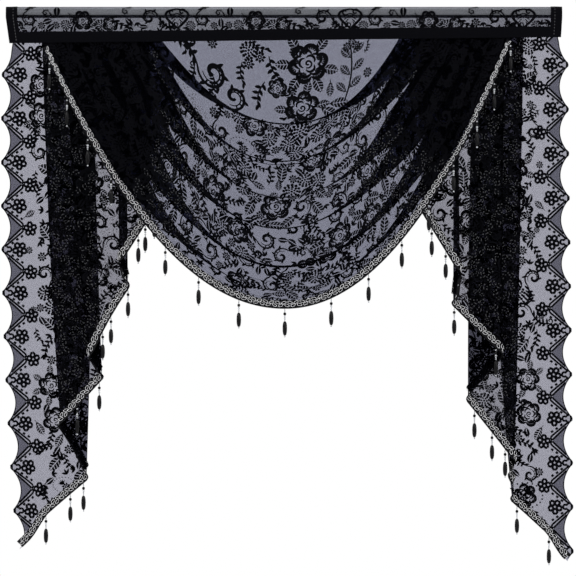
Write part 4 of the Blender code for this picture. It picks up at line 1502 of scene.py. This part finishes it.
    def lay_motifs(self, lace: LaceWork) -> None:
        """Lay the border, the motifs beside it and the filling."""
        for number in range(-1, self.scallop_count + 2):
            self.border_unit(lace, self.cut.tip_drop + number * self.cut.tip_pitch)
        self.edge_line(lace)
        for spot in self.cut.edge_spots:
            self.press_inward(lace, spot.motif.stencil, (spot.x, spot.drop, spot.turn, spot.size))
            rows, columns = self.border_place(np.array([spot.x]), np.array([spot.drop]))
            lace.keep(float(rows[0]), float(columns[0]), spot.motif.room * spot.size)

        def past_hem(places: np.ndarray) -> bool:
            """Tell whether a drawing reaches past the hem or over the border's edge."""
            rows, columns = places
            edge = self.flat_grid.columns - 12.0
            return bool(np.any(~self.inside(rows, columns, 2.0)) or np.any(columns > edge))

        lace.fill(self.cut.seed, self.may_fill, past_hem)

    def may_shine(self, row: float, column: float) -> bool:
        """Return whether a painted highlight thread may lie at a place: on the runs that lie in front, above
        the hem.
        """
        c = float(np.interp(column, np.arange(len(self.columns)), self.columns))
        first, end, second, second_end = self.shine_runs
        in_front = first < c < end or second < c < second_end
        patch = math.sin(c * 14.0 + row * 0.33) + math.sin(c * 9.0 - row * 0.47)
        above_hem = self.inside(np.array([row]), np.array([column]), 4.0)[0]
        return in_front and patch > self.shine_patch and bool(above_hem)

    def build(self, looks: dict[str, bpy.types.Material]) -> None:
        """Make the net, its motifs, its border and the lighter threads of painted highlight."""
        cut = self.cut
        maker = MeshMaker()
        maker.grid(self.net_grid.points, self.net_grid.uvs())
        # The net is darker where it turns edge-on, partly its denser look edge-on and partly painted crease
        # shade, and darker by a fixed amount on the inner runs.
        density_and_shade = self.net_grid.density_and_shade()
        last_fold = self.runs - 1.0
        inner_runs = 1.0 - smoothstep(last_fold - 0.1, last_fold, self.columns)
        density_and_shade = density_and_shade + self.inner_run_darkening * np.broadcast_to(inner_runs, density_and_shade.shape)
        sheet = maker.build(cut.name + "_net", looks["tail_net"], cut.slot, [cut.name], density_and_shade)
        heights = (self.motif_proud, self.bay_proud, self.shine_proud)
        lace, bays, shine = (LaceWork(self.flat_grid, proud * cut.side) for proud in heights)

        def past_hem(places: np.ndarray) -> bool:
            """Tell whether a thread reaches past the hem."""
            return bool(np.any(~self.inside(*places, 2.0)))

        self.lay_motifs(lace)
        self.dark_bays(bays)
        # Flecks of lighter thread: painted highlight on the runs in front.
        shine.fill(cut.seed + 1, self.may_shine, past_hem, PAINTED_HIGHLIGHT_FILLERS)
        kinds = ((lace, "_motifs", "thread"), (bays, "_bays", "dense_net"), (shine, "_painted_highlight_threads", "painted_highlight_and_stitch"))
        pieces = [work.maker.build(cut.name + ending, looks[look], cut.slot) for work, ending, look in kinds]
        LOG.info("%s: %.3f m2 of cloth, %d motifs", cut.name, self.net_grid.area(), len(lace.taken))


HEADING_SPOTS = spots(
    ("SCROLL", -622, 17, 90, 0.78), ("SCROLL", -584, 2, 200, 0.36), ("LEAFLET", -556, -2, 90, 1.3),
    ("MUM", -536, 31, 0, 0.62), ("DAISY", -596, 33, 0, 0.8), ("DAISY", -560, 32, 20, 0.8),
    ("LEAF", -514, 24, 60, 0.6), ("ROSE", -494, 20, 20, 0.62), ("LEAF", -470, 27, -40, 0.6),
    ("MUM", -450, 33, 0, 0.75), ("ROSE", -427, 30, 0, 0.48), ("SPRIG", -404, 20, 30, 0.9),
    ("SCROLL", -388, -2, 120, 0.36), ("SCROLL", -330, 14, 200, 0.82), ("DAISY", -300, 30, 0, 0.8),
    ("HEART", -262, 12, 0, 1.15), ("MUM", -230, 33, 0, 0.6), ("BUD", -360, 30, 80, 1.0),
    ("LEAFLET", -346, 36, 0, 1.0),
)


@dataclass
class Heading:
    """Rod-pocket heading: a strip of lace folded over the rod, a seam band and turned side hems."""

    node: str = "heading"
    slot: str = "heading_lace"
    flat: tuple[float, float] = (1.40, 0.20)
    front_y: float = -14.3
    back_y: float = -13.2
    back_top: float = 11.0
    hem_width: float = 28.0
    repeat: float = 424.0
    repeats: int = 4
    spots_end: float = 45.0
    top_row: int = 38
    strip_from_row: float = 50.0
    slant_left: float = 9.0
    slant_right: float = 4.0
    band_profile: tuple[tuple[float, float], ...] = (
        (0.0, 0.6), (0.0, -0.6), (1.5, -1.0), (13.0, -1.1), (25.5, -1.0), (27.0, -0.5), (27.0, 0.6),
    )
    stitch_inward: float = 19.0
    stitch_spacing: float = 7.5
    stitch_from_row: float = 32.5
    stitch_half_width: float = 0.9
    stitch_half_rows: float = 0.55
    stitch_proud: float = 1.35
    motif_seed: int = 5
    x: np.ndarray = field(init=False)
    bottom: np.ndarray = field(init=False)
    cloth: ClothGrid = field(init=False)

    def __post_init__(self) -> None:
        """Work out the grid, from the band's lower edge up the front and round the rod."""
        turns = np.radians(np.linspace(180.0, -150.0, 30))
        sleeve = np.stack((SLEEVE_RADIUS * np.cos(turns), SLEEVE_RADIUS * np.sin(turns)), axis=1)
        front = np.stack((np.full(20, self.front_y), -np.linspace(HEADING_DROP_LEFT, 1.0, 20)), axis=1)
        drops = np.linspace(self.back_top, HEADING_DROP_LEFT, 17)
        back = np.stack((np.full(17, self.back_y), -drops), axis=1)
        section = np.concatenate((front, sleeve, back))[::-1]
        self.x = np.linspace(-HEADING_HALF_LENGTH + 1.0, HEADING_HALF_LENGTH - 1.0, 181)
        self.bottom = HEADING_DROP_LEFT + (HEADING_DROP_RIGHT - HEADING_DROP_LEFT) * self.along(self.x)
        x, row = np.meshgrid(self.x, np.arange(len(section)))
        y, z = section[row, 0], section[row, 1]
        low = -z > SLEEVE_RADIUS
        stretch = (self.bottom - SLEEVE_RADIUS) / (HEADING_DROP_LEFT - SLEEVE_RADIUS)
        z = np.where(low, -(SLEEVE_RADIUS + (-z - SLEEVE_RADIUS) * stretch), z)
        y = y + np.where(low, 0.35 * np.sin(x / 37.0) * (-z - SLEEVE_RADIUS) / 60.0, 0.0)
        self.cloth = ClothGrid(np.stack((self.drawn_in(x, z), y, z), axis=-1))

    @staticmethod
    def along(x: np.ndarray) -> np.ndarray:
        """Return how far along the heading x lies, from 0 at its left end to 1."""
        return (x + HEADING_HALF_LENGTH) / (2.0 * HEADING_HALF_LENGTH)

    def drawn_in(self, x: np.ndarray, z: np.ndarray) -> np.ndarray:
        """Return x with the ends drawn in below the rod, the left one most."""
        share = self.along(x)
        below = np.clip((-z - ROD_RADIUS) / (HEADING_DROP_LEFT - ROD_RADIUS), 0.0, 1.0)
        return x + below * (self.slant_left * (1.0 - share) - self.slant_right * share)

    def column_at(self, x: np.ndarray) -> np.ndarray:
        """Return the column of the grid at x."""
        return np.interp(x, self.x, np.arange(len(self.x)))

    def place(self, x: float, drop: float) -> tuple[float, float]:
        """Return the row and column of the front face at a place in the front view."""
        column = float(self.column_at(x))
        drops = -self.cloth.points[self.top_row :, int(round(column)), 2]
        return float(np.interp(drop, drops, np.arange(self.top_row, self.cloth.rows))), column

    def lay_motifs(self) -> LaceWork:
        """Return the placed motifs, repeated along the heading, and the filling below the rod."""
        lace = LaceWork(self.cloth)
        for number in range(self.repeats):
            for spot in HEADING_SPOTS:
                x = spot.x + self.repeat * number
                if x > HEADING_HALF_LENGTH - self.spots_end:
                    continue
                row, column = self.place(x, spot.drop)
                lace.press(spot.motif.stencil, row, column, spot.turn, spot.size)
                lace.keep(row, column, spot.motif.room * spot.size * 0.8)
        first, last = self.strip_from_row, self.cloth.rows - 1.5

        def over_edge(places: np.ndarray) -> bool:
            """Tell whether a drawing reaches past the strip below the rod."""
            return bool(places[0].min() < first or places[0].max() > last or places[1].min() < 2.0)

        lace.fill(self.motif_seed, lambda row, column: row > first, over_edge)
        return lace

    def band(self) -> MeshMaker:
        """Return the doubled seam band along the lower edge, a flat roll of cloth."""
        rows = []
        for up, out in self.band_profile:
            z = -(self.bottom - up) + 0.25 * np.sin(self.x / 23.0 + up)
            y = np.full_like(self.x, self.front_y + out)
            rows.append(np.stack((self.drawn_in(self.x, z), y, z), axis=1))
        maker = MeshMaker()
        maker.grid(np.stack(rows))
        return maker

    def hems(self) -> MeshMaker:
        """Return the turned side hems, which wrap round the sleeve."""
        maker = MeshMaker()
        for side in (-1.0, 1.0):
            edge = side * (HEADING_HALF_LENGTH - 1.0)
            columns = self.column_at(edge - side * np.linspace(0.0, self.hem_width, 6))
            c, r = np.meshgrid(columns, np.arange(self.cloth.rows, dtype=float))
            proud = 0.7 + 0.35 * np.sin(r / 2.3 + c * 0.8)
            maker.grid(self.cloth.lifted(r, c, proud[..., None]))
        return maker

    def stitches(self) -> MeshMaker:
        """Return the pale stitches that show through the side hems, in one upright row at each end."""
        maker = MeshMaker()
        rows = np.arange(self.cloth.rows)
        corners = np.array([[-1.0, -1.0], [1.0, 1.0]])
        across = self.stitch_half_width / (self.x[1] - self.x[0])
        for side in (-1.0, 1.0):
            column = float(self.column_at(side * (HEADING_HALF_LENGTH - self.stitch_inward)))
            table = self.cloth.down[:, int(column)]
            low, high = np.interp((self.stitch_from_row, self.cloth.rows - 2.0), rows, table)
            for place in np.arange(low, high, self.stitch_spacing):
                r = float(np.interp(place, table, rows)) + self.stitch_half_rows * corners
                c = column + across * corners.T
                maker.grid(self.cloth.lifted(r, c, self.stitch_proud))
        return maker

    def build(self, looks: dict[str, bpy.types.Material]) -> None:
        """Make the net, its motifs, the band, the hems and their stitches."""
        maker = MeshMaker()
        maker.grid(self.cloth.points, self.cloth.uvs())
        sheet = maker.build("heading_net", looks["heading_net"], self.slot, [self.node])
        pieces = [
            part.build("heading_" + ending, looks[look], self.slot)
            for ending, look, part in (
                ("motifs", "thread", self.lay_motifs().maker),
                ("band", "thread", self.band()),
                ("hems", "thread", self.hems()),
                # The stitches take the lighter thread for their own pale colour.
                ("stitches", "painted_highlight_and_stitch", self.stitches()),
            )
        ]
        LOG.info("heading: %.3f m2 of cloth", self.cloth.area())


@dataclass(frozen=True)
class BeadRing:
    """One ring of a turned bead: how far down it is and its radius."""

    down: float
    radius: float


def ball(centre: float, radius: float, length: float | None = None) -> list[BeadRing]:
    """Return the rings of a round or long bead about a place on its thread."""
    half = radius if length is None else length / 2.0
    angles = np.radians(np.linspace(-80.0, 80.0, 7))
    return [BeadRing(centre + half * math.sin(a), radius * math.cos(a) ** 0.55) for a in angles]


BLACK_BEADS = (ball(13.5, 3.6), ball(49.0, 5.6, 35.0))
CLEAR_BEADS = (ball(6.5, 2.0), ball(20.0, 2.7), ball(25.3, 2.2), ball(29.4, 1.7), ball(69.0, 2.0))
THREAD_BEADS = ([BeadRing(-4.0, 0.6), BeadRing(70.0, 0.6)],)


@dataclass
class BeadedBraid:
    """Braid of two linked rows of silver cord on a black band, with bead drops along its lower edge.

    It keeps n stations along its middle, with n directions outward, towards its lower edge, and n normals out
    of its face. slim_ends says how much narrower it looks at its ends, where it turns away.
    """

    name: str
    slot: str
    stations: np.ndarray
    outward: np.ndarray
    normal: np.ndarray
    slim_ends: float = 0.0
    slim_span: float = 420.0
    half_width: float = 10.0
    profile: tuple[tuple[float, float], ...] = (
        (-10.0, 0.9), (-9.6, 2.1), (-8.4, 2.3), (-7.6, 1.6), (0.0, 1.3),
        (7.4, 1.6), (8.4, 2.8), (9.6, 2.6), (10.0, 0.9),
    )
    link_pitch: float = 15.2
    link_rows: tuple[tuple[int, float], ...] = ((0, -4.9), (1, 1.9))
    link_lean: float = 0.35
    link_half_length: float = 6.0
    link_half_width: float = 3.0
    link_bow: float = 0.9
    wire: float = 0.6
    drop_from: float = 9.0
    lift: float = 1.9
    lengths: np.ndarray = field(init=False)
    length: float = field(init=False)

    def __post_init__(self) -> None:
        """Measure the middle line."""
        steps = np.linalg.norm(np.diff(self.stations, axis=0), axis=1)
        self.lengths = np.concatenate(([0.0], np.cumsum(steps)))
        self.length = float(self.lengths[-1])

    def at(self, place: float | np.ndarray) -> tuple[np.ndarray, np.ndarray, np.ndarray]:
        """Read the middle line at lengths along the braid: its points, directions outward and normals."""
        point, outward, normal = (
            np.stack([np.interp(place, self.lengths, table[:, i]) for i in range(3)], axis=-1)
            for table in (self.stations, self.outward, self.normal)
        )
        return point, unit(outward), unit(normal)

    def shifted(self, place: float | np.ndarray, across: float) -> float | np.ndarray:
        """Return a distance across the braid, less where it looks slimmer; its lower edge stays."""
        return self.half_width - (self.half_width - across) * self.breadth(place)

    def breadth(self, place: float | np.ndarray) -> float | np.ndarray:
        """Return the share of its full width that the braid has at lengths along it."""
        from_end = np.minimum(place, self.length - place)
        return 1.0 - self.slim_ends * (1.0 - smoothstep(0.0, self.slim_span, from_end))

    def band(self) -> MeshMaker:
        """Return the black ground of the braid, with a raised cord at each edge."""
        places = np.arange(0.0, self.length, 4.0)
        point, outward, normal = self.at(places)
        rows = [
            point + outward * self.shifted(places, across)[:, None] + normal * up for across, up in self.profile
        ]
        maker = MeshMaker()
        maker.grid(np.stack(rows, axis=1))
        return maker

    def link(self, place: float, side: float, lean: float, height: float) -> np.ndarray:
        """Return one silver link as rings of points.

        Args:
            place: where it lies along the braid.
            side: how far across the braid its middle is.
            lean: its slant, in radians.
            height: how far it stands out.

        Returns:
            Rings by points by 3; the last ring is the first again.
        """
        point, outward, normal = self.at(place)
        major = np.cross(outward, normal) * math.cos(lean) + outward * math.sin(lean)
        minor = np.cross(normal, major)
        middle = point + outward * self.shifted(place, side) + normal * height
        half_width = self.link_half_width * self.breadth(place)
        rings = []
        for a in np.radians(np.linspace(0.0, 360.0, 11)[:-1]):
            out = major * math.cos(a) + minor * math.sin(a)
            ring = middle + major * self.link_half_length * math.cos(a) + minor * half_width * math.sin(a)
            ring = ring + normal * self.link_bow * math.cos(2 * a)
            round_wire = [(math.cos(b), math.sin(b)) for b in np.radians((0, 90, 180, 270))]
            rings.append([ring + out * self.wire * c + normal * self.wire * s for c, s in round_wire])
        return np.array(rings + rings[:1])

    def links(self) -> MeshMaker:
        """Return two rows of silver links that lie over one another like a chain."""
        maker = MeshMaker()
        for row, side in self.link_rows:
            for i in range(int(self.length / self.link_pitch)):
                place = (i + 0.5 + 0.5 * row) * self.link_pitch
                if place <= self.length - 2.0:
                    lean = self.link_lean if (i + row) % 2 else -self.link_lean
                    maker.grid(self.link(place, side, lean, 2.6 + 0.5 * (i % 2)), closed=True)
        return maker

    def beads(self, places: Sequence[float], shapes: Sequence[Sequence[BeadRing]]) -> MeshMaker:
        """Return turned beads that hang from the braid's lower edge at lengths along it."""
        maker = MeshMaker()
        turns = np.radians(np.linspace(0.0, 360.0, 11)[:-1])
        circle = np.stack((np.cos(turns), np.sin(turns), np.zeros_like(turns)), axis=1)
        for place in places:
            point, outward, normal = self.at(place)
            top = point + outward * self.drop_from + normal * self.lift
            for rings in shapes:
                grid = [top + circle * ring.radius - (0.0, 0.0, ring.down) for ring in rings]
                maker.grid(np.stack(grid), closed=True)
        return maker

    def build(self, places: Sequence[float], looks: dict[str, bpy.types.Material]) -> None:
        """Make the band, the links and the drops at lengths along the braid."""
        self.band().build(self.name + "_band", looks["cord"], self.slot, [self.name])
        self.links().build(self.name + "_links", looks["silver"], self.slot)
        for ending, look, shapes in (
            ("_black_beads", "jet", BLACK_BEADS),
            ("_clear_beads", "clear", CLEAR_BEADS),
            ("_threads", "cord", THREAD_BEADS),
        ):
            self.beads(places, shapes).build(self.name + ending, looks[look], self.slot)


SWAG_DROPS = (
    -573.0, -529.0, -478.0, -421.0, -289.0, -208.0, -110.0, 2.0,
    115.0, 206.0, 287.0, 353.0, 413.0, 470.0, 513.0, 554.0,
)
LEFT_TAIL_DROPS = (
    (0, -325.0), (0, -347.0), (0, -364.0), (2, -390.0), (2, -431.0), (2, -451.0), (4, -460.0), (4, -514.0),
    (6, -500.0), (6, -532.0), (6, -593.0),
)
RIGHT_TAIL_DROPS = (
    (0, 370.0), (0, 404.0), (2, 424.0), (2, 526.0), (4, 475.0), (4, 518.0), (4, 550.0), (6, 581.0), (6, 660.0),
)


def swag_braid(swag: SwagPanel) -> tuple[BeadedBraid, list[float]]:
    """Return the braid along the swag's hem and the lengths at which its drops hang."""
    drop = SWAG_FOLDS[-1].drop
    ends = [
        side * ((drop - low - 10.0) / (drop - SEAM_DROP)) ** (1.0 / swag.sag_power)
        for side, low in ((-1.0, HEADING_DROP_LEFT), (1.0, HEADING_DROP_RIGHT))
    ]
    u = np.linspace(*ends, 300)
    t = np.full_like(u, float(len(SWAG_FOLDS) - 1))
    edge = swag.surface(u, t)
    fall = edge - swag.surface(u, t - 0.5)
    along = unit(np.gradient(edge, axis=0))
    normal = unit(np.cross(along, fall))
    normal *= -np.sign(normal[:, 1:2])
    outward = unit(fall - along * (fall * along).sum(axis=1, keepdims=True))
    braid = BeadedBraid("swag_trim", "swag_braid", edge - outward * 8.0 + normal * 1.2, outward, normal, 0.35)
    return braid, [float(np.interp(x, edge[:, 0], braid.lengths)) for x in SWAG_DROPS]


def tail_braid(tail: Tail, drops: Sequence[tuple[int, float]]) -> tuple[BeadedBraid, list[float]]:
    """Make the braid along a tail's hem, round its folds.

    Args:
        tail: the tail.
        drops: for each drop, the run of cloth that it hangs from and its x.

    Returns:
        The braid and the lengths at which its drops hang.
    """
    cut = tail.cut
    marks = np.array([0.0, 0.02, 0.04, 0.06, 0.08, 0.1, 0.3, 0.5, 0.7, 0.9, 0.92, 0.94, 0.96, 0.98])
    border_marks = tail.runs - np.array([0.5, 0.4, 0.35, 0.25, 0.2, 0.15])
    c = np.unique(np.concatenate([run + marks for run in range(tail.runs)] + [border_marks]))
    end = tail.corner()
    c = np.append(c[c < end - NUDGE], end)
    pairs = zip(cut.folds, cut.folds[1:])
    slopes = [min(1.9, abs(b.drop - a.drop) / max(20.0, abs(b.hem - a.hem))) for a, b in pairs]
    hem = tail.hem_drop(c)
    stretch = np.sqrt(1.0 + np.interp(c, np.arange(tail.runs) + 0.5, slopes) ** 2)
    low, high = tail.surface(c, hem + 2.0 * stretch), tail.surface(c, hem - 18.0 * stretch)
    inner = np.clip(c, NUDGE, tail.runs - NUDGE)
    along = tail.surface(inner + NUDGE, hem) - tail.surface(inner - NUDGE, hem)
    normal = unit(np.cross(along, np.array([0.0, 0.0, -1.0])) * -cut.side)
    middle = (low + high) / 2.0 + normal * 1.2
    tangent = unit(np.gradient(middle, axis=0))
    outward = unit(low - high)
    outward = unit(outward - tangent * (outward * tangent).sum(axis=1, keepdims=True))
    braid = BeadedBraid(cut.name + "_trim", cut.slot.replace("_tail_lace", "_braid"), middle, outward, normal)
    places = []
    for run, x in drops:
        inside = (c >= run + 0.08 * (run > 0)) & (c <= run + 1.0 - 0.08 * (run < tail.runs - 1))
        xs, lengths = low[inside, 0], braid.lengths[inside]
        order = np.argsort(xs)
        places.append(float(np.interp(x, xs[order], lengths[order])))
    return braid, places


@dataclass(frozen=True)
class Lamp:
    """One soft lamp: its place and size in metres, and its power in watts."""

    name: str
    place: tuple[float, float, float]
    power: float
    size: float


@dataclass(frozen=True)
class Studio:
    """Pale floor, white surroundings, soft lights and the camera."""

    width_mm: float = 1411.2
    centre_x: float = 9.8
    centre_drop: float = 675.0
    distance: float = 12.0
    sensor: float = 36.0
    floor_box: tuple[float, float, float, float] = (1.5, -1.6, 0.9, -1.62)
    floor_colour: tuple[float, float, float, float] = (0.86, 0.86, 0.86, 1.0)
    aim: tuple[float, float, float] = (0.0, 0.0, -0.6)
    lamps: tuple[Lamp, ...] = (
        Lamp("key", (-2.2, -2.6, 1.2), 60.0, 1.6),
        Lamp("fill", (2.4, -2.4, 0.2), 30.0, 1.8),
        Lamp("top", (0.0, 0.6, 1.8), 25.0, 1.4),
    )

    def floor(self) -> None:
        """Make a plain pale floor under the cloth, clear of the picture."""
        mesh = bpy.data.meshes.new("floor")
        x, near, far, z = self.floor_box
        mesh.from_pydata([(-x, near, z), (x, near, z), (x, far, z), (-x, far, z)], [], [(0, 1, 2, 3)])
        nodes = Nodes("pale_floor")
        mesh.materials.append(nodes.finish(nodes.principled(self.floor_colour, 0.8)))
        floor = bpy.data.objects.new("floor", mesh)
        bpy.context.scene.collection.objects.link(floor)

    def lights(self) -> None:
        """Light the world white and add the soft lamps."""
        world = bpy.data.worlds.new("white_studio")
        world.use_nodes = True
        background = world.node_tree.nodes["Background"]
        background.inputs["Color"].default_value = (1.0, 1.0, 1.0, 1.0)
        background.inputs["Strength"].default_value = 1.0
        bpy.context.scene.world = world
        for lamp in self.lamps:
            data = bpy.data.lights.new(lamp.name, "AREA")
            data.energy = lamp.power
            data.size = lamp.size
            thing = bpy.data.objects.new(lamp.name, data)
            thing.location = lamp.place
            thing.rotation_euler = (Vector(self.aim) - Vector(lamp.place)).to_track_quat("-Z", "Y").to_euler()
            bpy.context.scene.collection.objects.link(thing)

    def camera(self) -> None:
        """Place a level camera in front, framed as the picture is."""
        data = bpy.data.cameras.new("camera")
        data.sensor_width = self.sensor
        data.lens = self.sensor * self.distance / (self.width_mm * MM)
        thing = bpy.data.objects.new("camera", data)
        thing.location = (self.centre_x * MM, -self.distance, -self.centre_drop * MM)
        thing.rotation_euler = (math.pi / 2.0, 0.0, 0.0)
        bpy.context.scene.collection.objects.link(thing)
        bpy.context.scene.camera = thing

    def build(self) -> None:
        """Make the floor, lights and camera."""
        self.floor()
        self.lights()
        self.camera()
        bpy.context.scene.view_settings.view_transform = "Standard"


FINISHES = {
    "swag_net": NetFinish("swag_net", 0.46, 0.45, (0.77, 0.79, 1.0)),
    "tail_net": NetFinish("tail_net", 0.56, 0.36, (0.86, 0.86, 1.0)),
    "heading_net": NetFinish("heading_net", 0.66, 0.36, (0.91, 0.92, 1.0)),
    "dense_net": NetFinish("dense_net", 0.56, 0.36, (0.90, 0.90, 1.0)),
    "thread": MotifFinish("lace_thread"),
    # Lighter thread: painted highlight on the flecks, and the pale stitches' own colour.
    "painted_highlight_and_stitch": HighlightAndStitchFinish("painted_highlight_and_stitch_thread"),
    "cord": YarnFinish("black_cord", (0.003, 0.003, 0.004), 0.0, 0.7, 0.1),
    "silver": YarnFinish("silver_cord", (0.82, 0.82, 0.84), 0.7, 0.35),
    "jet": BeadFinish("jet_bead", (0.0015, 0.0015, 0.002), 0.0, 0.2, 0.13),
    "clear": BeadFinish("clear_bead", (0.72, 0.74, 0.78), 0.6, 0.08),
}


def main() -> None:
    """Build every piece in order."""
    logging.basicConfig(level=logging.INFO, format="%(message)s")
    Studio().build()
    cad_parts["curtain_rod"].data.materials[0] = RodFinish().build()
    looks = {name: finish.build() for name, finish in FINISHES.items()}
    swag = SwagPanel()
    swag.build(looks)
    Heading().build(looks)
    braid, places = swag_braid(swag)
    braid.build(places, looks)
    for cut, drops in ((LEFT_TAIL, LEFT_TAIL_DROPS), (RIGHT_TAIL, RIGHT_TAIL_DROPS)):
        tail = Tail(cut)
        tail.build(looks)
        braid, places = tail_braid(tail, drops)
        braid.build(places, looks)


if __name__ == "__main__":
    main()
